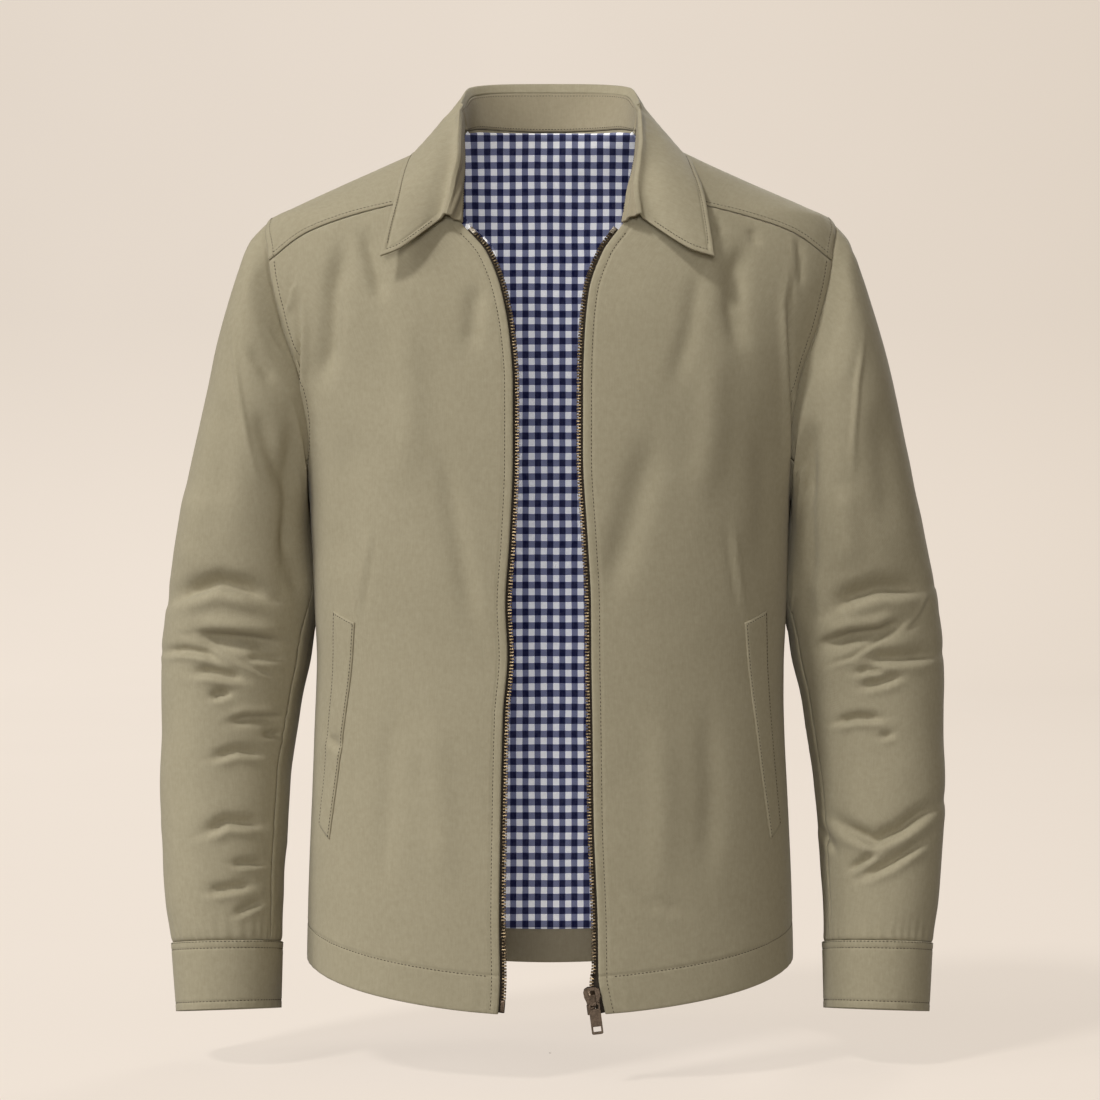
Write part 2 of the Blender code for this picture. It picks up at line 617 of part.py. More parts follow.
def cuff(side, turn, run, depth=0.0):
    point = sleeve_oval(CUFF, side, turn, run)
    return point - tube_normal(lambda *place: sleeve_oval(CUFF, *place), side, turn, run) * depth


# ---- collar -------------------------------------------------------------------------------
def collar_side(u):
    """Side and station for u, from the right front end round the back to the left one.

    The stations fall on the same columns as the cells of the fronts and the yoke.
    """
    count = min(u, 1 - u) * COLLAR_COLUMNS
    sewn = NECK_ROWS + ARM_CELLS_YOKE
    if count <= NECK_ROWS:
        station = mix(0.0, YOKE_NECK, count / NECK_ROWS)
    elif count <= sewn:
        station = mix(YOKE_NECK, 0.5, (count - NECK_ROWS) / ARM_CELLS_YOKE)
    else:
        station = mix(0.5, 1.0, (count - sewn) / (COLLAR_COLUMNS / 2 - sewn))
    return (RIGHT, station) if u <= 0.5 else (LEFT, station)


def collar_frame(u):
    """Seam point on the neckline, the stand's upward direction and its way to the neck."""
    side, station = collar_side(u)
    seam = torso(*neckline(side, station))
    step = 0.25 / COLLAR_COLUMNS
    ahead, behind = (torso(*neckline(*collar_side(min(max(place, 0.0), 1.0))))
                     for place in (u + step, u - step))
    along = (ahead - behind).normalized()
    rise = collar_fold(u) - seam
    rise = (rise - along * rise.dot(along)).normalized()
    return seam, rise, along.cross(rise).normalized()


def collar_foot(u):
    """Neck face of the stand where it stands on the neckline."""
    seam, rise, inward = collar_frame(u)
    return seam + rise * COLLAR_GAP + inward * COLLAR_CLOTH


def collar_fold(u):
    side, station = collar_side(u)
    return Vector((side * FOLD["across"](station) - FOLD["shift"](station),
                   FOLD["back"](station), FOLD["height"](station)))


def collar_edge(u):
    side, station = collar_side(u)
    height = LEAF_EDGE["height"](station)
    across = side * LEAF_EDGE["across"](station) - LEAF_EDGE["shift"](station)
    angle = torso_angle(across, height, station > 0.5)
    if station > 0.999:
        angle = pi
    return torso(angle, height, -LEAF_EDGE["lift"](station))


def collar_out(u):
    """Level direction away from the neck at this station."""
    out = -collar_frame(u)[2]
    out.z = 0
    return out.normalized()


def stand_surface(u, v):
    """Neck face of the stand."""
    _, station = collar_side(u)
    foot = collar_foot(u)
    top = foot.lerp(collar_fold(u), FOLD["stand_share"](station))
    return foot.lerp(top, v)


def leaf_surface(u, v):
    """Upper face of the fall, from the stand's top over the fold to the outer edge."""
    fold = collar_fold(u)
    seam = stand_surface(u, 1) + collar_frame(u)[1] * COLLAR_GAP
    out = collar_out(u)
    over = fold + out * FOLD_ROLL - Vector((0, 0, FOLD_DROP))
    edge = collar_edge(u)
    run = edge - over
    along = collar_fold(min(u + 0.01, 1)) - collar_fold(max(u - 0.01, 0))
    bow = along.cross(run).normalized() * LEAF_CROWN
    keys = [0.0, 0.16, 0.32, 0.55, 0.78, 1.0]
    places = [seam, fold + out * (FOLD_ROLL * 0.35), over, over + run * 0.34 + bow * 0.9,
              over + run * 0.68 + bow * 0.8, edge]
    return Vector([Smooth(keys, [place[i] for place in places])(v) for i in range(3)])


def sheet_normal(surface, u, v):
    step = 0.02
    along = surface(min(u + step, 1), v) - surface(max(u - step, 0), v)
    down = surface(u, min(v + step, 1)) - surface(u, max(v - step, 0))
    return along.cross(down).normalized()


# ---- mesh making --------------------------------------------------------------------------
def new_collection(name, hidden=False):
    collection = bpy.data.collections.new(name)
    collection.hide_render = hidden
    bpy.context.scene.collection.children.link(collection)
    return collection


def new_material(name):
    colour, roughness, metallic = COLOURS[name]
    material = bpy.data.materials.new(name)
    material.use_nodes = True
    shader = material.node_tree.nodes["Principled BSDF"]
    shader.inputs["Base Color"].default_value = (*colour, 1)
    shader.inputs["Roughness"].default_value = roughness
    shader.inputs["Metallic"].default_value = metallic
    return material


def add_object(name, bm, material, collection):
    bmesh.ops.recalc_face_normals(bm, faces=bm.faces)
    mesh = bpy.data.meshes.new(name)
    bm.to_mesh(mesh)
    bm.free()
    piece = bpy.data.objects.new(name, mesh)
    piece.data.materials.append(bpy.data.materials.get(f"{name}_{material}") or
                                own_material(name, material))
    collection.objects.link(piece)
    return piece


def own_material(name, finish):
    """A material of the piece's own, with the colours of its finish."""
    material = new_material(finish)
    material.name = f"{name}_{finish}"
    return material


def add_patch(bm, columns, rows, place, first_depth, wall):
    """A grid of the patch at the outer depth; each point also carries its inner place."""
    back = bm.verts.layers.float_vector.get("back") or bm.verts.layers.float_vector.new("back")
    made = bmesh.ops.create_grid(bm, x_segments=columns, y_segments=rows, size=0.5)
    for vertex in made["verts"]:
        u, v = vertex.co.x + 0.5, vertex.co.y + 0.5
        vertex.co = place(u, v, first_depth)
        vertex[back] = place(u, v, first_depth + wall)


def close_wall(bm):
    """Turn the open grids into one closed wall."""
    back = bm.verts.layers.float_vector.get("back")
    bmesh.ops.remove_doubles(bm, verts=bm.verts, dist=0.00005)
    whole = bm.verts[:] + bm.edges[:] + bm.faces[:]
    made = bmesh.ops.extrude_face_region(bm, geom=whole, use_keep_orig=True)
    for element in made["geom"]:
        if isinstance(element, bmesh.types.BMVert):
            element.co = element[back]


def inset_place(place, seams, between=SEAM_GAP):
    """Draw a patch in by half a seam gap along the named sides: u0, u1, v0, v1."""
    gap = between / 2
    step = 0.002

    def drawn_in(u, v, depth):
        here_u, here_v = u, v
        if "u0" in seams and u < step:
            here_u = gap * step / (place(u + step, v, 0) - place(u, v, 0)).length
        if "u1" in seams and u > 1 - step:
            here_u = 1 - gap * step / (place(u - step, v, 0) - place(u, v, 0)).length
        if "v0" in seams and v < step:
            here_v = gap * step / (place(u, v + step, 0) - place(u, v, 0)).length
        if "v1" in seams and v > 1 - step:
            here_v = 1 - gap * step / (place(u, v - step, 0) - place(u, v, 0)).length
        return place(here_u, here_v, depth)

    return drawn_in


def wall_piece(name, patches, depth, wall, material, collection):
    """One closed wall from (columns, rows, place) patches that share their edges."""
    bm = bmesh.new()
    for columns, rows, place in patches:
        add_patch(bm, columns, rows, place, depth, wall)
    close_wall(bm)
    return add_object(name, bm, material, collection)


# ---- pieces -------------------------------------------------------------------------------
def side_name(side):
    return "right" if side == RIGHT else "left"


def add_body(collection):
    """Fronts, back and yoke."""
    for side in (RIGHT, LEFT):
        def place(u, v, depth, side=side):
            return torso(*front_panel(side, u, v), depth)
        drawn = inset_place(place, ("u0", "v0"))
        wall_piece(f"front_{side_name(side)}", [(FRONT_COLUMNS, PANEL_ROWS, drawn)],
                   0, CLOTH, "sage_cloth", collection)

    def back_place(u, v, depth):
        return torso(*back_panel(u, v), depth)
    wall_piece("back", [(BACK_COLUMNS, PANEL_ROWS, inset_place(back_place, ("u0", "u1", "v0")))],
               0, CLOTH, "sage_cloth", collection)

    def yoke_place(u, v, depth):
        return torso(*yoke_patch(u, v), depth)
    wall_piece("yoke", [(YOKE_COLUMNS, YOKE_ROWS, inset_place(yoke_place, ("u0", "u1", "v1")))],
               0, CLOTH, "sage_cloth", collection)


def add_lining(collection):
    """Lining of the back and the fronts, and the turned hem below it."""
    ridge = ARM_CELLS_YOKE / YOKE_COLUMNS
    body_rows = PANEL_ROWS - 1

    def back_top(u, v, depth):
        return torso(*yoke_patch(mix(ridge, 1 - ridge, u), v), depth)

    def back_body(u, v, depth):
        return torso(*back_panel(u, v * FACING_SHARE), depth)

    wall_piece("lining_back",
               [(YOKE_COLUMNS - 2 * ARM_CELLS_YOKE, YOKE_ROWS, inset_place(back_top, ("u0", "u1"))),
                (BACK_COLUMNS, body_rows, inset_place(back_body, ("u0", "u1", "v1")))],
               LINING_DEPTH, LINING_CLOTH, "check_lining", collection)

    for side in (RIGHT, LEFT):
        def front_top(u, v, depth, side=side):
            start = 0.0 if side == RIGHT else 1 - ridge
            return torso(*yoke_patch(start + u * ridge, v), depth)

        def front_body(u, v, depth, side=side):
            return torso(*front_panel(side, u, v * FACING_SHARE), depth)

        wall_piece(f"lining_front_{side_name(side)}",
                   [(ARM_CELLS_YOKE, YOKE_ROWS,
                     inset_place(front_top, ("u1" if side == RIGHT else "u0",))),
                    (FRONT_COLUMNS, body_rows, inset_place(front_body, ("u0", "v1")))],
                   LINING_DEPTH, LINING_CLOTH, "check_lining", collection)

    def strip(panel):
        def place(u, v, depth):
            return torso(*panel(u, mix(FACING_SHARE, 1, v)), depth)
        return inset_place(place, ("v0",))

    wall_piece("hem_facing",
               [(FRONT_COLUMNS, 1, strip(lambda u, v: front_panel(RIGHT, u, v))),
                (BACK_COLUMNS, 1, strip(back_panel)),
                (FRONT_COLUMNS, 1, strip(lambda u, v: front_panel(LEFT, u, v)))],
               LINING_DEPTH, CLOTH, "sage_cloth", collection)


def sleeve_cut(place):
    """A sleeve piece's patch, a little shy of its long seams, whose walls twist at the armhole."""
    return inset_place(place, ("u0", "u1", "v1"), between=SLEEVE_GAP)


def add_sleeves(collection):
    """Each sleeve is cut as a top and an under piece, with a cuff at the wrist."""
    runs = [row.run for row in SLEEVE_ROWS]
    cuff_runs = [row.run for row in CUFF_ROWS]
    under = UNDER_CELLS / ARM_CELLS
    for side in (RIGHT, LEFT):
        def top_place(u, v, depth, side=side):
            turn = mix(0.5 + under, 1.5 - under, u)
            return sleeve(side, turn, run_at(runs, v), depth)

        def under_place(u, v, depth, side=side):
            return sleeve(side, mix(0.5 - under, 0.5 + under, u), run_at(runs, v), depth)

        def cuff_place(u, v, depth, side=side):
            return cuff(side, u, run_at(cuff_runs, v), depth)

        rows = len(runs) - 1
        name = side_name(side)
        wall_piece(f"sleeve_top_{name}",
                   [(ARM_CELLS - 2 * UNDER_CELLS, rows, sleeve_cut(top_place))],
                   0, CLOTH, "sage_cloth", collection)
        wall_piece(f"sleeve_under_{name}",
                   [(2 * UNDER_CELLS, rows, sleeve_cut(under_place))],
                   0, CLOTH, "sage_cloth", collection)
        wall_piece(f"cuff_{name}",
                   [(ARM_CELLS, len(cuff_runs) - 1, inset_place(cuff_place, ("v0",)))],
                   0, CUFF_CLOTH, "sage_cloth", collection)


def run_at(runs, v):
    """The run down the arm at row share v, row by row through the table."""
    count = v * (len(runs) - 1)
    row = min(int(count + 1e-6), len(runs) - 2)
    return mix(runs[row], runs[row + 1], count - row)


def add_collar(collection):
    """Stand and fall of the shirt collar."""
    def stand_place(u, v, depth):
        return stand_surface(u, v) - collar_frame(u)[2] * depth

    def leaf_place(u, v, depth):
        if v == 0:
            return leaf_surface(u, v) - collar_frame(u)[2] * depth
        return leaf_surface(u, v) - sheet_normal(leaf_surface, u, v) * depth

    wall_piece("collar_stand", [(COLLAR_COLUMNS, 2, stand_place)],
               0, COLLAR_CLOTH, "sage_cloth", collection)
    wall_piece("collar_fall", [(COLLAR_COLUMNS, 5, leaf_place)],
               0, COLLAR_CLOTH, "sage_cloth", collection)


def chain_shy(height):
    top, low = CHAIN_SHY_HEIGHTS
    return CHAIN_SHY * ease((top - height) / (top - low))


def edge_row(side, height):
    """Share down the front, from 0 to 1, of a height on its edge."""
    low, high = 0.0, 1.0
    for _ in range(30):
        middle = (low + high) / 2
        if front_panel(side, 1, middle)[1] > height:
            low = middle
        else:
            high = middle
    return low


def zip_strip(name, side, outs, depths, top, low, material, collection):
    """A strip along one front edge, on the front's own cells between two heights."""
    first, last = edge_row(side, top) * PANEL_ROWS, edge_row(side, low) * PANEL_ROWS
    inner = [row for row in range(PANEL_ROWS + 1) if first + 0.1 < row < last - 0.1]
    rows = [first, *inner, last]

    def place(u, v, depth):
        row = run_at(rows, v) / PANEL_ROWS
        edge, neighbour = (front_cell_point(side, share, row, 0)
                           for share in (1, 1 - 1 / FRONT_COLUMNS))
        out = mix(outs[0], outs[1], u)
        if out < 0:
            width = (edge - neighbour).length
            return front_cell_point(side, 1 + out / width / FRONT_COLUMNS, row, depth)
        if side == LEFT:
            out += chain_shy(edge.z)
        down = (front_cell_point(side, 1, min(row + 0.01, 1), 0)
                - front_cell_point(side, 1, max(row - 0.01, 0), 0))
        inward = down.cross(torso_normal(*front_panel(side, 1, row))).normalized() * side
        return front_cell_point(side, 1, row, depth) + inward * out

    return wall_piece(name, [(1, len(rows) - 1, place)], depths[0], depths[1] - depths[0],
                      material, collection)


def add_zip(collection):
    """Tapes, chains, top stops and the insertion pin along the two front edges."""
    hem = {side: front_panel(side, 1, 1)[1] for side in (RIGHT, LEFT)}
    tape_top = EDGE_TOP - TAPE_LOWER
    slider_top = SLIDER_MIDDLE[1] + SLIDER_LENGTH / 2
    chain_top = tape_top - STOP_LENGTH - SEAM_GAP
    chain_low = {RIGHT: hem[RIGHT] + PIN_LENGTH, LEFT: slider_top + 0.0012}
    for side in (RIGHT, LEFT):
        name = side_name(side)
        tape = (TAPE_DEPTH, TAPE_DEPTH + TAPE_CLOTH)
        zip_strip(f"zip_tape_{name}", side, (-TAPE_UNDER, TAPE_OUT), tape,
                  tape_top, hem[side] + 0.001, "dark_tape", collection)
        zip_strip(f"zip_chain_{name}", side, (CHAIN_IN, CHAIN_OUT), CHAIN_DEPTHS,
                  chain_top, chain_low[side], "bronze", collection)
        zip_strip(f"top_stop_{name}", side, (CHAIN_IN, CHAIN_OUT + 0.0003), CHAIN_DEPTHS,
                  tape_top, tape_top - STOP_LENGTH, "bronze", collection)
    zip_strip("insertion_pin", RIGHT, (CHAIN_IN, CHAIN_OUT - 0.0006), (0.0014, 0.0032),
              chain_low[RIGHT] - SEAM_GAP, hem[RIGHT] + 0.001, "bronze", collection)


def add_welts(collection):
    """Slanted pocket welts, laid on the flat cells of the fronts."""
    for side in (RIGHT, LEFT):
        def place(u, v, depth, side=side):
            out_u, out_v = mix(WELT_TOP.outer_u, WELT_LOW.outer_u, v), mix(WELT_TOP.outer_v,
                                                                          WELT_LOW.outer_v, v)
            in_u, in_v = mix(WELT_TOP.inner_u, WELT_LOW.inner_u, v), mix(WELT_TOP.inner_v,
                                                                        WELT_LOW.inner_v, v)
            return front_cell_point(side, mix(out_u, in_u, u), mix(out_v, in_v, u), depth)

        wall_piece(f"pocket_welt_{side_name(side)}", [(WELT_COLUMNS, WELT_ROWS, place)],
                   -WELT_LIFT - WELT_CLOTH, WELT_CLOTH, "sage_cloth", collection)


def front_cell_point(side, u, v, depth):
    """A point on a front's cells as they are meshed, `depth` inside the outer face.

    u past 1 carries on in the plane of the last cell, past the front edge.
    """
    column = min(int(u * FRONT_COLUMNS + 1e-9), FRONT_COLUMNS - 1)
    row = min(int(v * PANEL_ROWS + 1e-9), PANEL_ROWS - 1)
    s, t = u * FRONT_COLUMNS - column, v * PANEL_ROWS - row
    corner = [[torso(*front_panel(side, (column + i) / FRONT_COLUMNS, (row + j) / PANEL_ROWS), depth)
               for i in (0, 1)] for j in (0, 1)]
    return corner[0][0].lerp(corner[0][1], s).lerp(corner[1][0].lerp(corner[1][1], s), t)


# ---- slider, retainer box and pull tab ----------------------------------------------------
def slider_frame():
    """Place of the slider's middle on the cloth's outer face, leaning with the front edge."""
    across, height = SLIDER_MIDDLE
    face = torso(torso_angle(across, height), height)
    return Matrix.Translation((across, face.y, height)) @ Matrix.Rotation(-ZIP_LEAN, 4, "Y")


def block(size, middle, bevel=0.0):
    """A box as a bmesh, with its edges rounded."""
    bm = bmesh.new()
    bmesh.ops.create_cube(bm, size=1)
    bmesh.ops.scale(bm, vec=size, verts=bm.verts)
    if bevel:
        bmesh.ops.bevel(bm, geom=bm.edges, offset=bevel, segments=1, profile=0.5,
                        affect="EDGES", material=-1)
    bmesh.ops.translate(bm, vec=middle, verts=bm.verts)
    return bm


def shield_plate(wall, back_face):
    """A slider plate: wide rounded shoulders, narrower foot. back_face is its depth."""
    half, long = SLIDER_WIDTH / 2, SLIDER_LENGTH / 2
    outline = [(-0.45, 1.0), (0.45, 1.0), (0.85, 0.8), (1.0, 0.4), (0.96, -0.1), (0.78, -0.6),
               (0.74, -1.0), (-0.74, -1.0), (-0.78, -0.6), (-0.96, -0.1), (-1.0, 0.4), (-0.85, 0.8)]
    bm = bmesh.new()
    corners = [bm.verts.new((x * half, back_face - wall, z * long)) for x, z in outline]
    face = bm.faces.new(corners)
    made = bmesh.ops.extrude_face_region(bm, geom=[face], use_keep_orig=True)
    moved = [item for item in made["geom"] if isinstance(item, bmesh.types.BMVert)]
    bmesh.ops.translate(bm, vec=(0, wall, 0), verts=moved)
    bmesh.ops.recalc_face_normals(bm, faces=bm.faces)
    return bm


def bridge_strap():
    """The bridge over the front plate, a strap with an open loop below for the tab's bar."""
    front = SLIDER_FRONT - PLATE
    low, top = BRIDGE_LOW, BRIDGE_TOP
    out = front - BRIDGE_STAND
    wall = BRIDGE_WALL
    outer = [(front + 0.0005, low + 0.0006), (front - 0.0012, low), (out + 0.0006, low + 0.0004),
             (out, low + 0.0016), (out, low + 0.0045), (out + 0.0018, low + 0.0095),
             (front + 0.0005, top)]
    inner = [(front + 0.0005, top - wall * 2.4), (out + 0.0019 + wall, low + 0.0080),
             (out + wall, low + 0.0042), (out + wall, low + 0.0019),
             (out + wall + 0.0003, low + wall + 0.0001), (front + 0.0005, low + wall)]
    bm = bmesh.new()
    corners = [bm.verts.new((-BRIDGE_WIDTH / 2, y, z)) for y, z in outer + inner]
    face = bm.faces.new(corners)
    made = bmesh.ops.extrude_face_region(bm, geom=[face], use_keep_orig=True)
    moved = [item for item in made["geom"] if isinstance(item, bmesh.types.BMVert)]
    bmesh.ops.translate(bm, vec=(BRIDGE_WIDTH, 0, 0), verts=moved)
    bmesh.ops.recalc_face_normals(bm, faces=bm.faces)
    return bm


def boolean(piece, cutter, operation):
    step = piece.modifiers.new(operation.title(), "BOOLEAN")
    step.operation = operation
    step.object = cutter


def hidden_tool(name, bm, frame, tools):
    tool = add_object(name, bm, "bronze", tools)
    tool.display_type = "WIRE"
    tool.matrix_world = frame
    return tool


def add_slider(collection, tools):
    """Slider: two plates, the wedge between them and the bridge."""
    frame = slider_frame()
    slider = add_object("slider", shield_plate(PLATE, SLIDER_FRONT), "bronze", collection)
    slider.matrix_world = frame
    gap = SLIDER_BACK - SLIDER_FRONT
    wedge = block((NECK_WIDTH, gap + PLATE, 0.0032),
                  (0, (SLIDER_FRONT + SLIDER_BACK) / 2, SLIDER_LENGTH / 2 - 0.0018))
    boolean(slider, hidden_tool("slider_back", shield_plate(PLATE, SLIDER_BACK + PLATE), frame,
                                tools), "UNION")
    boolean(slider, hidden_tool("slider_wedge", wedge, frame, tools), "UNION")
    boolean(slider, hidden_tool("slider_bridge", bridge_strap(), frame, tools), "UNION")

    low = -SLIDER_LENGTH / 2 - SEAM_GAP
    reach, depths = BOX_REACH, BOX_DEPTHS
    box = block((reach[1] - reach[0], depths[1] - depths[0], BOX_LENGTH),
                (sum(reach) / 2, sum(depths) / 2, low - BOX_LENGTH / 2), bevel=0.0004)
    retainer = add_object("retainer_box", box, "bronze", collection)
    retainer.matrix_world = frame


def add_pull_tab(collection, tools):
    """Pull tab, hung by its bar in the bridge; its origin is on the bar's axis."""
    frame = slider_frame()
    front = SLIDER_FRONT - PLATE
    bar = BRIDGE_LOW + BRIDGE_WALL + TAB_BAR / 2 + 0.0006
    pivot = frame @ Matrix.Translation((0.0006, front - PIVOT_STAND, bar))
    top = TAB_BAR / 2
    outline = block((TAB_WIDTH, TAB_WALL, TAB_LENGTH), (0, 0, top - TAB_LENGTH / 2))
    upright = [edge for edge in outline.edges
               if abs(edge.verts[0].co.y - edge.verts[1].co.y) > TAB_WALL / 2]
    bmesh.ops.bevel(outline, geom=upright, offset=0.0013, segments=3, profile=0.5,
                    affect="EDGES", material=-1)
    tab = add_object("pull_tab", outline, "bronze", collection)
    tab.matrix_world = pivot
    eye_long = TAB_EYE[1] - TAB_BAR / 2
    eye = block((TAB_EYE[0], TAB_WALL * 3, eye_long), (0, 0, -TAB_BAR / 2 - eye_long / 2))
    slot_middle = top - TAB_LENGTH + TAB_SLOT_UP + TAB_SLOT[1] / 2
    slot = block((TAB_SLOT[0], TAB_WALL * 3, TAB_SLOT[1]), (0, 0, slot_middle))
    boolean(tab, hidden_tool("tab_eye", eye, pivot, tools), "DIFFERENCE")
    boolean(tab, hidden_tool("tab_slot", slot, pivot, tools), "DIFFERENCE")


def main():
    for old in list(bpy.data.objects):
        bpy.data.objects.remove(old, do_unlink=True)
    jacket = new_collection("harrington_jacket")
    tools = new_collection("cutters", hidden=True)
    add_body(jacket)
    add_lining(jacket)
    add_sleeves(jacket)
    add_collar(jacket)
    add_zip(jacket)
    add_welts(jacket)
    add_slider(jacket, tools)
    add_pull_tab(jacket, tools)


main()
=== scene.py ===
"""Harrington jacket, worn and unzipped with no wearer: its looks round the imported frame.

Metres, +Z up, front towards -Y. "Right" and "left" are the wearer's: the right is at -X.
The body cloth lies on one torso surface, given by an angle round the body (0 at the front
centre, a quarter turn at the left side) and a height. Every cloth piece is a fine grid on
that surface or on a sleeve, raised and sunk by its creases and seams.
"""
import logging
from collections.abc import Callable, Sequence
from dataclasses import dataclass, field
from enum import Enum
from itertools import product
from math import radians

import bmesh
import bpy
import numpy as np
from mathutils import Matrix, Vector


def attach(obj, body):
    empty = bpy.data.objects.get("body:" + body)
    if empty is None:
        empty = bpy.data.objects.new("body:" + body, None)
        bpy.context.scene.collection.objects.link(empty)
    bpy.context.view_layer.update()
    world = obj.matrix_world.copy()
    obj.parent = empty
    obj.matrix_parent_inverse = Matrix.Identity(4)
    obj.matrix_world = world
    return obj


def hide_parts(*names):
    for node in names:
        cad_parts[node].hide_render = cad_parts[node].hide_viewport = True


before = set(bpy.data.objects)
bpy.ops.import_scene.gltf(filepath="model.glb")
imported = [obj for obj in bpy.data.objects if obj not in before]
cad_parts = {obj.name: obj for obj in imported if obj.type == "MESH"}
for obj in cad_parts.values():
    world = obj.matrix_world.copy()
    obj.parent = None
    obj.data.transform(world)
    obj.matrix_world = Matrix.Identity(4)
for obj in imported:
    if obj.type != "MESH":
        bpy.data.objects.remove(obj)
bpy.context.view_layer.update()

logging.basicConfig(level=logging.INFO, format="%(message)s")
log = logging.getLogger("jacket")

Array = np.ndarray
Place = tuple[Array, Array]
Socket = bpy.types.NodeSocket
PI = np.pi

RIGHT, LEFT = -1, 1
SIDES = {RIGHT: "right", LEFT: "left"}
BODY = "jacket"


# ---- sizes --------------------------------------------------------------------------------
CLOTH = 0.0015
SEAM_GAP = 0.0003
LINING_DEPTH = 0.0032
LINING_CLOTH = 0.0010
LINING_BACK = 0.1250
CHECK_RING = -0.25
LEVEL_STRETCH = 1.012
FACING_HEIGHT = 0.0300
EDGE_TOP = -0.0580
HEM_HEIGHT = -0.669
HEM_SWEEP = 0.0225
HEM_CORNER = 0.0050
COLLAR_CLOTH = 0.0020
COLLAR_GAP = 0.0005
YOKE_NECK = 0.18
YOKE_BACK_HEIGHT = -0.0780

# The cells that the seams are laid out on: neighbours meet at the same cells.
ARM_CELLS_YOKE = 3
ARM_CELLS_PANEL = 7
PANEL_ROWS = 14
BACK_COLUMNS = 10
YOKE_COLUMNS = 22
NECK_ROWS = 2
COLLAR_COLUMNS = YOKE_COLUMNS + 2 * NECK_ROWS
ARM_SHARE = ARM_CELLS_PANEL / PANEL_ROWS
FACING_SHARE = (PANEL_ROWS - 1) / PANEL_ROWS
LINING_END = 0.9367


def ease(t: Array) -> Array:
    """0 to 1 with level ends."""
    t = np.clip(t, 0.0, 1.0)
    return t * t * (3 - 2 * t)


def mix(a: Array, b: Array, t: Array) -> Array:
    """The value a share t of the way from a to b."""
    return a + (b - a) * t


def power(value: Array, exponent: Array) -> Array:
    """A power that keeps the sign."""
    return np.abs(value) ** exponent * np.where(value >= 0, 1.0, -1.0)


def unit(vectors: Array) -> Array:
    """Vectors of length 1."""
    return vectors / np.maximum(np.linalg.norm(vectors, axis=-1, keepdims=True), 1e-12)


def dot(a: Array, b: Array) -> Array:
    """Row by row dot product, kept as a column."""
    return (a * b).sum(-1, keepdims=True)


def bell(gap: Array, width: Array) -> Array:
    """A bump that is 1 where the gap is 0 and dies away over the width."""
    return np.exp(-(gap / width) ** 2)


def walk(line: Array) -> Array:
    """Length along a line of points, at each point."""
    return np.concatenate([[0], np.cumsum(np.linalg.norm(np.diff(line, axis=0), axis=1))])


def calm_slopes(steps: Array) -> Array:
    """Slopes at the keys of a cubic that never overshoots, from the slopes between them."""
    before, after = steps[:-1], steps[1:]
    level = before * after <= 0
    inner = np.where(level, 0.0, 2 * before * after / np.where(level, 1.0, before + after))
    return np.concatenate([steps[:1], inner, steps[-1:]])


def cubic(values: Sequence[Array], slopes: Sequence[Array], span: Array, t: Array) -> Array:
    """A cubic by its two end values and slopes, read a share t of the span."""
    start = slopes[0] * span * t * (1 - t) ** 2
    end = slopes[1] * span * t * t * (t - 1)
    return mix(*values, ease(t)) + start + end


class Curve:
    """A cubic through (key, value) pairs that never overshoots between them."""

    def __init__(self, keys: Sequence[float], values: Sequence[float]) -> None:
        """Work out the slope at each key.

        Args:
            keys: places along the curve, in any order.
            values: the curve's value at each key.
        """
        order = np.argsort(keys)
        self.keys = np.asarray(keys, float)[order]
        self.values = np.asarray(values, float)[order]
        self.slopes = calm_slopes(np.diff(self.values) / np.diff(self.keys))

    def __call__(self, key: Array) -> Array:
        """Values of the curve.

        Args:
            key: one place or an array of them.

        Returns:
            The value at each place.
        """
        key = np.asarray(key, float)
        i = np.searchsorted(self.keys[1:-1], key, side="left")
        span = self.keys[i + 1] - self.keys[i]
        t = np.clip((key - self.keys[i]) / span, 0.0, 1.0)
        return cubic(*((of[i], of[i + 1]) for of in (self.values, self.slopes)), span, t)


class Table:
    """Rows of named numbers, read as one curve for each column after the first."""

    def __init__(self, names: str, *rows: tuple[float, ...]) -> None:
        """Make the curves.

        Args:
            names: column names; the first is the key.
            rows: one tuple for each key.
        """
        columns = list(zip(*rows))
        for name, values in zip(names.split()[1:], columns[1:]):
            setattr(self, name, Curve(columns[0], values))


RINGS = Table(
    "height half front back squareness",
    (-0.700, 0.1970, 0.1250, 0.1300, 2.40), (-0.600, 0.1960, 0.1240, 0.1290, 2.40),
    (-0.530, 0.1935, 0.1225, 0.1275, 2.40), (-0.480, 0.1910, 0.1215, 0.1260, 2.40),
    (-0.410, 0.1890, 0.1205, 0.1240, 2.40), (-0.360, 0.1910, 0.1205, 0.1245, 2.40),
    (-0.300, 0.1930, 0.1200, 0.1265, 2.40), (-0.271, 0.1945, 0.1190, 0.1275, 2.40),
    (-0.220, 0.2000, 0.1160, 0.1280, 2.40), (-0.175, 0.2130, 0.1115, 0.1270, 2.35),
    (-0.130, 0.2295, 0.1045, 0.1235, 2.35), (-0.082, 0.2395, 0.0925, 0.1150, 2.30),
    (-0.062, 0.2365, 0.0855, 0.1095, 2.30), (-0.046, 0.2278, 0.0790, 0.1050, 2.30),
    (-0.036, 0.2080, 0.0730, 0.1015, 2.30), (-0.020, 0.1731, 0.0620, 0.0950, 2.25),
    (0.0000, 0.1290, 0.0480, 0.0870, 2.20), (0.0150, 0.0963, 0.0390, 0.0790, 2.15),
    (0.0265, 0.0710, 0.0320, 0.0745, 2.10), (0.0320, 0.0680, 0.0300, 0.0725, 2.10),
    (0.0400, 0.0560, 0.0270, 0.0690, 2.10))

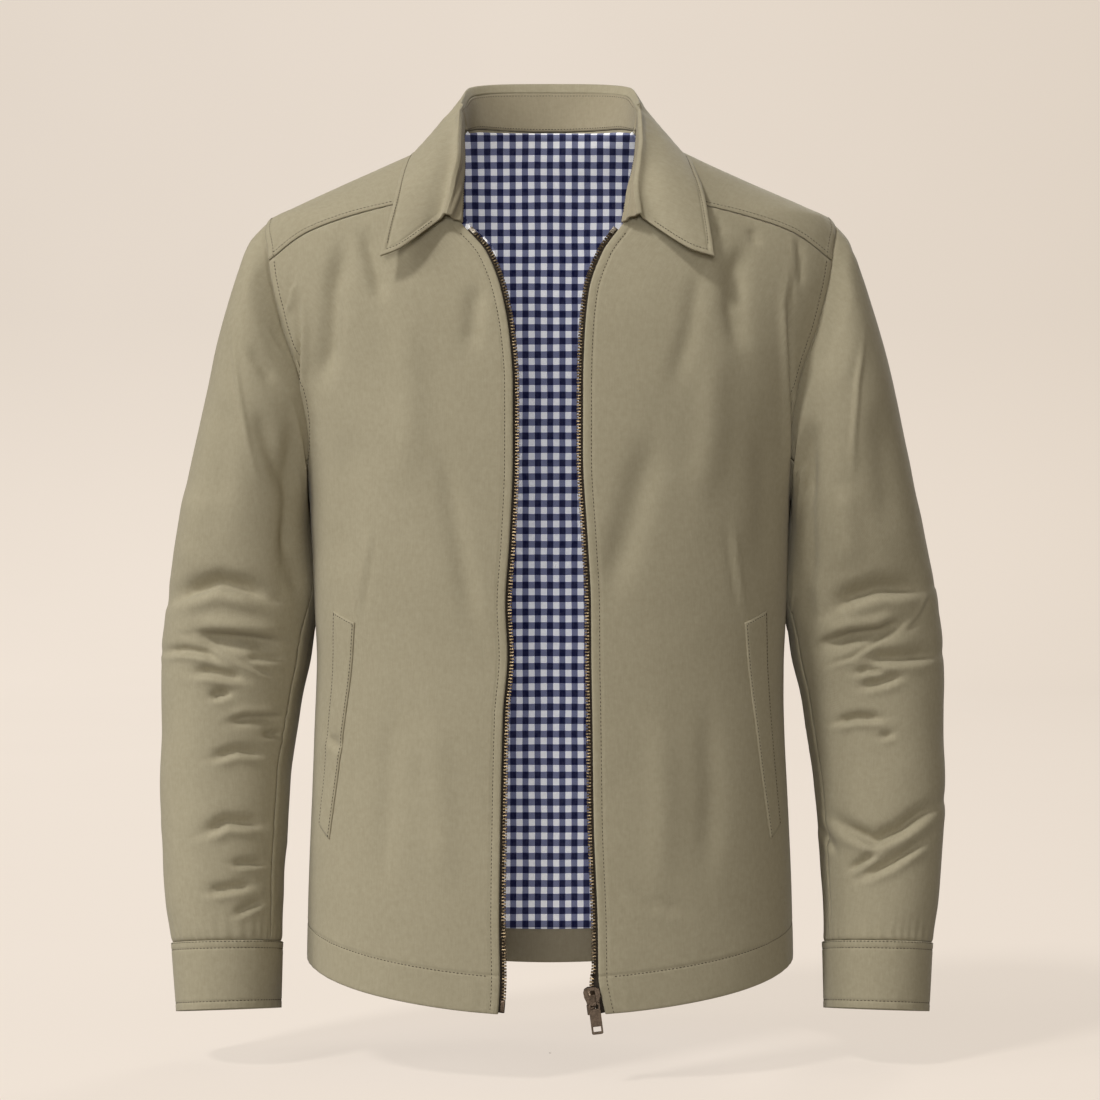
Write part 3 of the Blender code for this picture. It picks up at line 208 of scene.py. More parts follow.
# Seen from the side: turn is 0 at the shoulder tip and 0.5 at the armpit.
ARM = Table(
    "turn forward height",
    (0.00, -0.0080, -0.0455), (0.05, 0.0120, -0.0490), (0.10, 0.0285, -0.0620),
    (0.15, 0.0395, -0.0820), (0.27, 0.0475, -0.1320), (0.37, 0.0500, -0.1780),
    (0.44, 0.0420, -0.2320), (0.50, 0.0000, -0.2710), (0.56, -0.0460, -0.2350),
    (0.64, -0.0640, -0.1820), (0.74, -0.0650, -0.1320), (0.85, -0.0520, -0.0850),
    (0.90, -0.0410, -0.0645), (0.95, -0.0255, -0.0510), (1.00, -0.0080, -0.0455))

# Station 0 is the collar's front end, 0.5 about the neck's side and 1 the back.
NECK = Table(
    "station across height shift",
    (0.00, 0.0630, EDGE_TOP, 0.0060), (0.13, 0.0650, -0.0370, 0.0040),
    (0.26, 0.0672, -0.0150, 0.0015), (0.38, 0.0695, 0.0070, 0.0), (0.50, 0.0710, 0.0265, 0.0),
    (0.60, 0.0675, 0.0305, 0.0), (0.70, 0.0580, 0.0345, 0.0), (0.82, 0.0400, 0.0367, 0.0),
    (0.91, 0.0210, 0.0377, 0.0), (1.00, 0.0000, 0.0380, 0.0))
FOLD = Table(
    "station across back height shift stand_share",
    (0.00, 0.0752, -0.0930, -0.0512, 0.0060, 0.88),
    (0.13, 0.0705, -0.0810, -0.0255, 0.0045, 0.86),
    (0.26, 0.0700, -0.0640, -0.0025, 0.0010, 0.82), (0.38, 0.0715, -0.0410, 0.0170, 0.0, 0.76),
    (0.50, 0.0711, -0.0100, 0.0440, 0.0, 0.72), (0.60, 0.0698, 0.0200, 0.0585, 0.0, 0.74),
    (0.70, 0.0665, 0.0480, 0.0715, 0.0, 0.77), (0.82, 0.0500, 0.0700, 0.0785, 0.0, 0.79),
    (0.91, 0.0270, 0.0790, 0.0810, 0.0, 0.79), (1.00, 0.0000, 0.0820, 0.0817, 0.0, 0.79))
LEAF_EDGE = Table(
    "station across height lift shift",
    (0.00, 0.1265, -0.0890, 0.0150, 0.0020), (0.13, 0.1232, -0.0640, 0.0130, 0.0010),
    (0.26, 0.1188, -0.0360, 0.0105, 0.0), (0.38, 0.1140, -0.0100, 0.0062, 0.0015),
    (0.47, 0.1110, 0.0074, 0.0046, 0.0022), (0.58, 0.1012, 0.0105, 0.0042, 0.0020),
    (0.72, 0.0755, 0.0175, 0.0042, 0.0010), (0.86, 0.0400, 0.0242, 0.0042, 0.0),
    (1.00, 0.0000, 0.0270, 0.0042, 0.0))
YOKE_FRONT = Table(
    "share across height",
    (0.00, 0.0660, -0.0285), (0.37, 0.1240, -0.0414), (0.59, 0.1585, -0.0504),
    (0.80, 0.1914, -0.0620), (1.00, 0.2223, -0.0820))
EDGE = Table(
    "height right left",
    (-0.6750, 0.0405, 0.0440), (-0.6560, 0.0388, 0.0395), (-0.6400, 0.0382, 0.0368),
    (-0.6000, 0.0388, 0.0362), (-0.5200, 0.0378, 0.0332), (-0.4400, 0.0360, 0.0322),
    (-0.3950, 0.0325, 0.0315), (-0.3550, 0.0342, 0.0313), (-0.3050, 0.0310, 0.0288),
    (-0.2400, 0.0285, 0.0252), (-0.1850, 0.0286, 0.0254), (-0.1500, 0.0310, 0.0265),
    (-0.1130, 0.0375, 0.0300), (-0.0820, 0.0490, 0.0405), (EDGE_TOP, 0.0690, 0.0570))
ZIP_ROWS = (EDGE_TOP, -0.0730, -0.0930, -0.1210, -0.1610, -0.2150,
            -0.2850, -0.3550, -0.4250, -0.4950, -0.5650)
SLEEVE = Table(
    "run outer_x outer_z inner_x inner_z front back",
    (0.000, 0.2278, -0.0455, 0.1945, -0.2710, -0.0520, 0.0650),
    (0.012, 0.2418, -0.0620, 0.1970, -0.2740, -0.0600, 0.0715),
    (0.030, 0.2498, -0.0830, 0.1980, -0.2780, -0.0660, 0.0765),
    (0.055, 0.2597, -0.1130, 0.1975, -0.2830, -0.0690, 0.0800),
    (0.085, 0.2722, -0.1560, 0.1965, -0.2910, -0.0690, 0.0810),
    (0.120, 0.2845, -0.2110, 0.1950, -0.3030, -0.0660, 0.0800),
    (0.160, 0.2962, -0.2680, 0.1935, -0.3220, -0.0610, 0.0780),
    (0.200, 0.3050, -0.3130, 0.1915, -0.3430, -0.0560, 0.0760),
    (0.228, 0.3108, -0.3430, 0.1912, -0.3640, -0.0530, 0.0745),
    (0.252, 0.3136, -0.3680, 0.1935, -0.3830, -0.0515, 0.0730),
    (0.274, 0.3160, -0.3920, 0.1955, -0.4020, -0.0505, 0.0712),
    (0.300, 0.3162, -0.4210, 0.2010, -0.4280, -0.0500, 0.0685),
    (0.335, 0.3160, -0.4580, 0.2060, -0.4610, -0.0512, 0.0635),
    (0.370, 0.3168, -0.4940, 0.2108, -0.4945, -0.0535, 0.0565),
    (0.403, 0.3154, -0.5280, 0.2130, -0.5270, -0.0565, 0.0490),
    (0.440, 0.3122, -0.5660, 0.2150, -0.5640, -0.0602, 0.0400),
    (0.475, 0.3083, -0.6000, 0.2160, -0.5985, -0.0637, 0.0315),
    (0.505, 0.3031, -0.6290, 0.2165, -0.6275, -0.0660, 0.0245),
    (0.512, 0.3026, -0.6358, 0.2165, -0.6341, -0.0664, 0.0232))
CUFF = Table(
    "run outer_x outer_z inner_x inner_z front back",
    (0.505, 0.3031, -0.6290, 0.2165, -0.6275, -0.0660, 0.0245),
    (0.533, 0.3010, -0.6560, 0.2165, -0.6540, -0.0675, 0.0195),
    (0.561, 0.2988, -0.6830, 0.2168, -0.6800, -0.0680, 0.0145))
CUFF_TOP, CUFF_FOOT = 0.505, 0.561


# ---- creases ------------------------------------------------------------------------------
@dataclass(frozen=True)
class Crease:
    """A trough (rise < 0) or a ridge, in millimetres as seen by someone in front.

    The lip, of the opposite sense, lies beside it: right of the way of travel where it is
    positive, left where it is negative.
    """

    width: float
    rise: float
    lip: float
    points: tuple[tuple[int, int], ...]


def crease_rows(*rows: tuple) -> tuple[Crease, ...]:
    """Creases from rows of width, rise, lip and points."""
    return tuple(Crease(*row[:3], row[3:]) for row in rows)


SLEEVE_CREASES = {
    RIGHT: crease_rows(
        (7.3, -5.7, 1.4, (-312, -357), (-293, -348), (-270, -341), (-248, -346), (-226, -354)),
        (7.0, -6.5, -1.5, (-291, -381), (-272, -383), (-244, -385), (-215, -389)),
        (3.3, -2.9, 0.9, (-317, -397), (-298, -395), (-280, -398), (-267, -405)),
        (1.8, -1.3, 0.7, (-275, -389), (-254, -403), (-232, -413), (-216, -417)),
        (3.3, -2.6, 0.4, (-249, -402), (-234, -402), (-213, -402)),
        (4.1, -3.2, 0.9, (-293, -414), (-276, -413), (-247, -419)),
        (4.1, -3.2, 0.4, (-277, -434), (-259, -429)),
        (4.1, -3.4, -0.6, (-263, -453), (-248, -449), (-215, -449)),
        (3.3, -2.6, 0.4, (-234, -464), (-215, -464)),
        (4.9, -3.8, 1.2, (-283, -545), (-263, -535), (-231, -537)),
        (3.3, -2.6, 0.7, (-260, -569), (-229, -568)),
        (4.1, -2.8, 0.7, (-280, -592), (-239, -586)),
        (3.3, -2.2, 0.5, (-258, -611), (-231, -598)),
        (7.3, -2.1, 0, (-241, -195), (-228, -232), (-211, -272)),
        (5.7, -1.3, 0, (-247, -147), (-237, -160), (-224, -178)),
        (2.1, 1.0, 0, (-259, -131), (-254, -180), (-246, -224), (-237, -259)),
        (1.8, 0.7, 0, (-233, -128), (-220, -150), (-211, -162)),
        (10.6, -1.6, 0, (-263, -183), (-267, -232), (-270, -285)),
        (6.5, -2.1, 0, (-216, -285), (-208, -321), (-205, -359)),
        (4.1, -2.7, 0.7, (-278, -484), (-254, -477), (-229, -480)),
        (11.4, 1.6, 0, (-288, -256), (-293, -305), (-296, -337)),
        (6.0, -2.4, 0, (-210, -200), (-213, -290), (-217, -350))),
    LEFT: crease_rows(
        (7.3, -5.7, 1.3, (228, -365), (245, -353), (267, -346), (309, -345)),
        (6.2, -4.9, -1.3, (218, -390), (244, -382), (268, -379), (289, -369)),
        (1.8, -1.3, 0.7, (223, -408), (244, -401), (265, -388), (288, -372)),
        (5.7, -4.5, 0.8, (255, -403), (287, -402), (318, -398)),
        (2.1, -0.9, 0.6, (311, -347), (302, -367), (289, -381)),
        (3.3, -2.6, 0.6, (246, -414), (259, -411), (272, -413)),
        (4.1, -2.8, 0.6, (251, -426), (272, -421), (288, -415)),
        (3.7, -2.9, 0.8, (229, -455), (250, -450), (273, -451)),
        (3.3, -1.9, 0.4, (268, -466), (280, -463)),
        (5.7, -4.5, 1.2, (226, -529), (244, -542), (264, -551), (287, -541), (322, -516)),
        (3.3, -1.3, 0.4, (217, -534), (233, -562)),
        (3.3, -2.6, 0.6, (241, -575), (267, -559)),
        (4.1, -3.0, 0.7, (249, -582), (276, -570), (311, -547)),
        (2.4, -0.8, 0.3, (233, -56), (239, -79), (236, -100)),
        (2.4, -0.7, 0.3, (235, -53), (252, -76)),
        (2.1, 1.0, 0, (256, -134), (250, -176), (247, -224), (246, -264)),
        (5.7, -1.0, 0, (235, -93), (224, -126), (214, -152)),
        (8.1, -2.2, 0, (215, -203), (210, -240), (205, -280)),
        (6.5, -1.8, 0, (210, -305), (208, -346), (213, -386)),
        (10.6, -1.4, 0, (268, -191), (273, -248), (278, -305)),
        (11.4, 1.6, 0, (237, -256), (241, -305), (244, -333)),
        (6.0, -2.4, 0, (209, -205), (210, -290), (214, -350))),
}
FRONT_CREASES = crease_rows(
    (2.6, 1.7, 1.6, (-208, -87), (-202, -110), (-201, -142), (-201, -173), (-198, -215),
     (-194, -264)),
    (2.1, 0.9, 0.4, (-207, -93), (-211, -108), (-214, -121)),
    (8.1, -3.5, 0, (-166, -54), (-176, -102), (-180, -150), (-190, -189)),
    (6.5, -2.7, 0, (-153, -48), (-143, -82), (-137, -115)),
    (7.3, -1.8, 0, (-59, -93), (-65, -154)),
    (8.1, -1.8, 0, (-89, -224), (-73, -313), (-59, -386)),
    (2.8, 1.0, -0.6, (-145, -292), (-151, -331), (-157, -369)),
    (4.1, -1.4, 0.4, (-178, -464), (-172, -477)),
    (13.0, 1.6, 0, (-122, -110), (-114, -191), (-118, -272)),
    (13.0, -1.6, 0, (-161, -207), (-166, -289), (-172, -346)),
    (11.4, 1.0, 0, (-98, -435), (-89, -516), (-85, -598)),
    (9.8, -1.3, 0, (-128, -435), (-132, -516), (-138, -598)),
    (2.6, 1.9, 1.8, (193, -289), (193, -224), (193, -189), (192, -153), (191, -111), (196, -80)),
    (2.8, -1.4, 0.3, (201, -56), (203, -79), (203, -100)),
    (8.1, -3.2, 0, (163, -58), (151, -85), (149, -118), (157, -157)),
    (3.3, -1.3, 0, (133, -40), (141, -56)),
    (3.3, -1.3, 0, (164, -50), (169, -66)),
    (12.2, -2.2, 0, (86, -214), (68, -280), (48, -354)),
    (2.8, 1.0, 0.6, (147, -289), (154, -346), (159, -368)),
    (7.3, -1.3, 0, (122, -79), (114, -134), (99, -185)),
    (13.0, 1.6, 0, (135, -134), (132, -215), (122, -289)),
    (11.4, -1.9, 0, (175, -207), (177, -272), (172, -346)),
    (11.4, 1.0, 0, (89, -435), (93, -516), (89, -598)),
    (9.8, -1.4, 0, (127, -427), (132, -508), (127, -589)),
    (4.1, -1.0, 0.3, (57, -581), (81, -602), (114, -610)))
BACK_CREASES = crease_rows(
    (15.0, -4.8, 0, (-150, -130), (-140, -220), (-120, -310)),
    (15.0, -4.5, 0, (150, -130), (136, -225), (112, -330)),
    (9.0, 2.4, 0, (-176, -150), (-168, -240), (-158, -320)),
    (9.0, 2.4, 0, (176, -150), (170, -235), (160, -310)),
    (18.0, -3.3, 0, (-40, -120), (-20, -230), (-30, -330)),
    (16.0, -3.0, 0, (52, -150), (40, -260), (46, -350)),
    (9.0, -3.0, 0.8, (-150, -402), (-80, -418), (-10, -412)),
    (8.0, -2.7, 0.8, (10, -432), (80, -440), (160, -422)),
    (7.0, -2.1, 0.6, (-120, -452), (-50, -462)),
    (14.0, -2.7, 0, (-90, -500), (-86, -560), (-92, -630)),
    (14.0, -2.4, 0, (80, -490), (88, -560), (84, -628)),
    (12.0, 1.8, 0, (0, -500), (6, -570), (2, -640)))
# All creases: how much deeper than their rows say, what is left of one at its ends, how much
# narrower it is towards its lip, the narrowest that one may be (mm), and the lip's place and
# spread in widths.
CREASE_DEPTH = 1.9
END_SHARE = 0.12
LIP_SHARPNESS = 0.45
LEAST_WIDTH = 1.7
LIP_PLACE, LIP_SPREAD = 1.35, 0.85

# Where someone in front looks from.
EYE_DISTANCE = 2.03
EYE_HEIGHT = -0.313


def as_seen(points: Array) -> Array:
    """Points on the plane through the shoulders, in millimetres, as someone in front sees them.

    Args:
        points: places in metres, one row each.

    Returns:
        Across and height for each place.
    """
    scale = EYE_DISTANCE / (EYE_DISTANCE + points[:, 1])
    return 1000 * np.stack([points[:, 0] * scale,
                            EYE_HEIGHT + (points[:, 2] - EYE_HEIGHT) * scale], 1)


def near_line(line: Array, points: Array) -> tuple[Array, Array, Array]:
    """How points lie to a line of straight pieces.

    Args:
        line: corners of the line, one row each, in two or three dimensions.
        points: places to measure.

    Returns:
        Distance, length along the line, and side (1 on the right of travel, in two
        dimensions) of each point.
    """
    best = np.full(len(points), 1e9)
    along = np.zeros(len(points))
    side = np.ones(len(points))
    walked = 0.0
    for start, end in zip(line[:-1], line[1:]):
        run = end - start
        length = np.linalg.norm(run)
        if length < 1e-9:
            continue
        away = points - start
        share = np.clip(away @ run / length ** 2, 0, 1)
        gap = away - share[:, None] * run
        distance = np.linalg.norm(gap, axis=1)
        closer = distance < best
        best = np.where(closer, distance, best)
        along = np.where(closer, walked + share * length, along)
        if line.shape[1] == 2:
            across = away[:, 0] * run[1] - away[:, 1] * run[0]
            side = np.where(closer, np.where(across > 0, 1.0, -1.0), side)
        walked += length
    return best, along, side


def crease_rise(creases: Sequence[Crease], seen: Array) -> Array:
    """Rise of a set of creases.

    Args:
        creases: the creases.
        seen: places as seen from the front, in millimetres.

    Returns:
        Rise at each place, in metres.
    """
    total = np.zeros(len(seen))
    for crease in creases:
        line = np.array(crease.points, float)
        length = np.linalg.norm(np.diff(line, axis=0), axis=1).sum()
        reach = 4.5 * crease.width
        near = np.all((seen > line.min(0) - reach) & (seen < line.max(0) + reach), axis=1)
        if not near.any():
            continue
        distance, along, side = near_line(line, seen[near])
        fade = ease(along / (0.30 * length)) * ease((length - along) / (0.30 * length))
        fade = END_SHARE + (1 - END_SHARE) * fade
        toward = distance * side * (1 if crease.lip >= 0 else -1)
        sharp = 1.0 if crease.lip == 0 else LIP_SHARPNESS
        width = crease.width * np.where(toward > 0, sharp, 1.0 + 0.5 * (1 - sharp))
        main = crease.rise * bell(toward, np.maximum(width, LEAST_WIDTH))
        lip = bell(toward / crease.width - LIP_PLACE, LIP_SPREAD)
        total[near] += (main - np.sign(crease.rise) * abs(crease.lip) * lip) * fade
    return total * CREASE_DEPTH / 1000


def drift(points: Array, size: float, seed: int) -> Array:
    """Soft random waves, the same on each run.

    Args:
        points: places in metres.
        size: how wide a wave is, in metres.
        seed: which pattern.

    Returns:
        A number from -1 to 1 for each place.
    """
    cell = points / size
    base = np.floor(cell).astype(np.int64)
    t = ease(cell - base)
    total = np.zeros(len(points))
    for corner in product((0, 1), repeat=3):
        key = (base + corner) @ np.array([7349, 19391, 83497]) + 101 * seed
        value = np.modf(np.abs(np.sin(key * 12.9898)) * 43758.5453)[0] * 2 - 1
        total += value * np.prod(np.where(np.array(corner) == 1, t, 1 - t), axis=1)
    return total


@dataclass
class Seam:
    """A sewn line and what it does to the cloth beside it."""

    line: Array
    groove: float = 0.0006
    reach: float = 0.0011
    band: float = 0.0
    width: float = 0.0065
    stitch: float = 0.0
    stitch_groove: float = 0.00048
    stitch_reach: float = 0.0009
    pucker: float = 0.00022
    period: float = 0.0085
    spread: float = 0.011

    def rise(self, points: Array) -> Array:
        """Rise of the cloth beside the seam.

        Args:
            points: places in metres.

        Returns:
            Rise at each place, in metres.
        """
        distance, along, _ = near_line(self.line, points)
        total = -self.groove * bell(distance, self.reach)
        total += self.band * (1 - ease((distance - self.width) / 0.0016))
        if self.stitch:
            total -= self.stitch_groove * bell(distance - self.stitch, self.stitch_reach)
        wave = np.sin(2 * PI * along / self.period + 2.2 * np.sin(along / 0.023))
        wave = wave * (0.55 + 0.45 * np.sin(along / 0.041 + 1.3))
        return total + self.pucker * wave * bell(distance, self.spread)


# ---- the torso and its seams, as (angle, height) ------------------------------------------
def torso_angle(across: Array, height: Array, behind: Array = False) -> Array:
    """Angle of the torso point that lies `across` from the middle.

    Args:
        across: distance from the middle, positive to the wearer's left.
        height: height of the point.
        behind: whether it is on the back.

    Returns:
        The angle.
    """
    share = np.minimum(np.abs(across) / RINGS.half(height), 1.0)
    angle = np.arcsin(share ** (RINGS.squareness(height) / 2))
    angle = np.where(behind, PI - angle, angle)
    return np.where(across >= 0, angle, 2 * PI - angle)


def torso(angle: Array, height: Array) -> Array:
    """Points of the torso, without folds.

    Args:
        angle: angles round the body.
        height: heights.

    Returns:
        One point a row.
    """
    angle, height = np.broadcast_arrays(np.asarray(angle, float), np.asarray(height, float))
    depth = np.where(np.cos(angle) > 0, RINGS.front(height), RINGS.back(height))
    exponent = 2 / RINGS.squareness(height)
    return np.stack([RINGS.half(height) * power(np.sin(angle), exponent),
                     -depth * power(np.cos(angle), exponent), height], -1)


def torso_normal(angle: Array, height: Array) -> Array:
    """Outward directions of the torso, for the angles and heights that torso takes."""
    step = 0.004
    around = torso(angle + step, height) - torso(angle - step, height)
    up = torso(angle, height + step) - torso(angle, height - step)
    return unit(np.cross(around, up))


def hem_height(angle: Array) -> Array:
    """Height of the hem at an angle."""
    side = np.abs(np.sin(angle))
    return HEM_HEIGHT + HEM_SWEEP * side ** 1.5 + HEM_CORNER * side ** 8


def armhole(side: Array, turn: Array) -> Place:
    """A place on the armhole.

    Args:
        side: RIGHT or LEFT.
        turn: share of the way round, 0 at the shoulder tip.

    Returns:
        Angle and height.
    """
    height = ARM.height(turn)
    forward = ARM.forward(turn)
    depth = np.where(forward > 0, RINGS.front(height), RINGS.back(height))
    angle = np.arccos(power(forward / depth, RINGS.squareness(height) / 2))
    return np.where(np.asarray(side) > 0, angle, 2 * PI - angle), height


def neckline(side: Array, station: Array) -> Place:
    """A place on the neckline, for a side and a collar station."""
    station = np.asarray(station, float)
    height = NECK.height(station)
    across = side * NECK.across(station) - NECK.shift(station)
    angle = torso_angle(across, height, station > 0.5)
    return np.where(station >= 1.0, PI, angle), height


def yoke_front_seam(side: Array, share: Array) -> Place:
    """Front yoke seam from the neckline (0) to the armhole (1), eased onto its two ends."""
    start, end = neckline(side, YOKE_NECK), armhole(side, 0.15)

    def plain(part: Array) -> Place:
        height = YOKE_FRONT.height(part)
        return torso_angle(side * YOKE_FRONT.across(part), height), height

    own, first, last = plain(share), plain(0.0), plain(1.0)
    return tuple(own[i] + mix(start[i] - first[i], end[i] - last[i], share) for i in (0, 1))


def front_edge(side: int, height: Array) -> Place:
    """The front edge, where the zip is sewn in."""
    across = side * (EDGE.right if side == RIGHT else EDGE.left)(height)
    return torso_angle(across, height), height


def coons(top: Callable, bottom: Callable, start: Callable, end: Callable,
          u: Array, v: Array) -> Place:
    """Patch between four (angle, height) curves that meet at their corners.

    Args:
        top: curve at v 0, by u.
        bottom: curve at v 1, by u.
        start: curve at u 0, by v.
        end: curve at u 1, by v.
        u: shares across.
        v: shares down.

    Returns:
        Angle and height of each place.
    """
    sides = [(top(u)[i], bottom(u)[i], start(v)[i], end(v)[i]) for i in (0, 1)]
    corners = [mix(mix(start(0.0)[i], end(0.0)[i], u), mix(start(1.0)[i], end(1.0)[i], u), v)
               for i in (0, 1)]
    return tuple(mix(s[0], s[1], v) + mix(s[2], s[3], u) - c for s, c in zip(sides, corners))


def side_seam(side: int, v: Array, front: bool) -> Place:
    """Outer edge of a front or back panel: the armhole, then the side seam."""
    turn = mix(0.15, 0.5, np.clip(v / ARM_SHARE, 0, 1))
    arm = armhole(side, turn if front else 1 - turn)
    straight = PI / 2 if side > 0 else 3 * PI / 2
    pit, foot = ARM.height(0.5), hem_height(straight)
    height = np.interp(v, (ARM_SHARE, FACING_SHARE, 1.0), (pit, foot + FACING_HEIGHT, foot))
    on_arm = np.asarray(v) <= ARM_SHARE
    return np.where(on_arm, arm[0], straight), np.where(on_arm, arm[1], height)


def front_panel(side: int, u: Array, v: Array) -> Place:
    """A place on a front: u from the side seam to the zip, v from the yoke to the hem."""

    def hem(share: Array) -> Place:
        angle = mix(side_seam(side, 1.0, True)[0], front_edge(side, HEM_HEIGHT)[0], share)
        return angle, hem_height(angle)

    def neck_and_zip(share: Array) -> Place:
        row = np.asarray(share) * PANEL_ROWS
        neck = neckline(side, mix(YOKE_NECK, 0.0, np.clip(row / NECK_ROWS, 0, 1)))
        foot = float(hem(1.0)[1])
        heights = [*ZIP_ROWS, foot + FACING_HEIGHT, foot]
        zipped = front_edge(side, np.interp(row - NECK_ROWS, range(len(heights)), heights))
        return tuple(np.where(row <= NECK_ROWS, neck[i], zipped[i]) for i in (0, 1))

    return coons(lambda share: yoke_front_seam(side, 1 - share), hem,
                 lambda share: side_seam(side, share, True), neck_and_zip, u, v)


def back_panel(u: Array, v: Array) -> Place:
    """A place on the back: u from the wearer's right to left, v from the yoke to the hem."""

    def top(share: Array) -> Place:
        right, left = armhole(RIGHT, 0.85), armhole(LEFT, 0.85)
        height = mix(YOKE_BACK_HEIGHT, right[1], np.abs(2 * share - 1) ** 2)
        return mix(right[0], left[0], share), height

    def hem(share: Array) -> Place:
        angle = mix(3 * PI / 2, PI / 2, share)
        return angle, hem_height(angle)

    return coons(top, hem, lambda share: side_seam(RIGHT, share, False),
                 lambda share: side_seam(LEFT, share, False), u, v)


def yoke_patch(u: Array, v: Array) -> Place:
    """A place on the yoke: u round the neck from the right front, v outwards."""
    side = np.where(u <= 0.5, RIGHT, LEFT)
    count = np.minimum(u, 1 - u) * YOKE_COLUMNS
    fraction = count / ARM_CELLS_YOKE
    front, middle = fraction <= 1, fraction <= 2
    past = (count - ARM_CELLS_YOKE) / (YOKE_COLUMNS / 2 - ARM_CELLS_YOKE)
    station = np.where(front, mix(YOKE_NECK, 0.5, fraction), mix(0.5, 1.0, past))
    inner = neckline(side, station)
    turn = np.where(front, mix(0.15, 0.0, np.clip(fraction, 0, 1)),
                    mix(1.0, 0.85, np.clip(fraction - 1, 0, 1)))
    arm = armhole(side, turn)
    share = (count - 2 * ARM_CELLS_YOKE) / BACK_COLUMNS
    back = back_panel(np.where(side == RIGHT, share, 1 - share), 0.0)
    outer = [np.where(middle, arm[i], back[i]) for i in (0, 1)]
    seam, seam_in, seam_out = (yoke_front_seam(side, part) for part in (v, 0.0, 1.0))
    weight = np.maximum(1 - fraction / 2, 0.0)
    return tuple(mix(inner[i], outer[i], v)
                 + weight * (seam[i] - mix(seam_in[i], seam_out[i], v)) for i in (0, 1))


def line_of(place: Callable, *, count: int = 70, start: float = 0.0, end: float = 1.0) -> Array:
    """A seam as points on the torso, from its angle and height by share."""
    return torso(*place(np.linspace(start, end, count)))


# ---- cloth pieces -------------------------------------------------------------------------
class Finish(Enum):
    """The finishes that a piece may take, with the record's slot for each."""

    SHELL = ("shell", "sage_cloth")
    # The inside finish is the shell's twill darkened: painted shade.
    INSIDE = ("inside", "sage_cloth")
    THREAD = ("thread", "sage_cloth")
    CHECK = ("check", "check_lining")
    TAPE = ("tape", "dark_tape")
    TEETH = ("teeth", "bronze")
    CAST = ("cast", "bronze")
    BRIGHT = ("bright", "bronze")

    @property
    def slot(self) -> str:
        """Name of the record's material slot."""
        return self.value[1]


def spaced(*spans: tuple[float, float, int]) -> Array:
    """Shares along a grid, by start, end and number of cells of each stretch."""
    parts = [np.linspace(start, end, cells + 1)[:-1] for start, end, cells in spans]
    return np.concatenate([*parts, [spans[-1][1]]])


def arc_from_back(points: Array) -> Array:
    """How far round the torso points are from the centre back, measured level."""
    def bearing(place: Array) -> Array:
        return np.arctan2(place[..., 0] / 0.195, -place[..., 1] / 0.120) % (2 * PI)

    ring = torso(np.linspace(0, 2 * PI, 181), CHECK_RING)
    walked = walk(ring)
    ring_angle = bearing(ring)
    ring_angle[-1] = 2 * PI
    around = walked[90] - np.interp(bearing(points), ring_angle, walked)
    across, back = np.abs(points[..., 0]), points[..., 1]
    beside = np.maximum(ease((across - 0.11) / 0.05), ease((-0.03 - back) / 0.03))
    level = -points[..., 0] * LEVEL_STRETCH
    return mix(level, around, beside * (1 - ease((back - 0.03) / 0.04)))


@dataclass
class Patch:
    """One grid of a cloth piece: a surface read at shares us across and vs down."""

    us: Array
    vs: Array
    place: Callable[[Array, Array, float], Array]
    origin: float = 0.5
    by_height: bool = False

    def points(self) -> Array:
        """The grid's points on the outer face, indexed by column and row."""
        u, v = np.meshgrid(self.us, self.vs, indexing="ij")
        found = self.place(u.ravel(), v.ravel(), 0.0)
        return found.reshape(len(self.us), len(self.vs), 3)

    def cut(self, points: Array) -> Array:
        """Where each point was on the flat cloth, in metres, measured along the threads."""
        if self.by_height:
            behind = np.maximum(points[..., 1], 0.0)
            nearer = (EYE_DISTANCE + LINING_BACK) / (EYE_DISTANCE + behind)
            level = EYE_HEIGHT + (points[..., 2] - EYE_HEIGHT) * nearer
            return np.stack([arc_from_back(points), level], 2)
        across = np.linalg.norm(np.diff(points, axis=0), axis=2)
        down = np.linalg.norm(np.diff(points, axis=1), axis=2)
        u = np.concatenate([np.zeros((1, len(self.vs))), np.cumsum(across, 0)])
        v = np.concatenate([np.zeros((len(self.us), 1)), np.cumsum(down, 1)], 1)
        middle = int(np.argmin(np.abs(self.us - self.origin)))
        return np.stack([u - u[middle], v], 2)


@dataclass(frozen=True)
class Cut:
    """The flat size that a piece was cut to, in metres, and what holds it."""

    width: float
    length: float
    area: float
    held: str
    rests_on: str


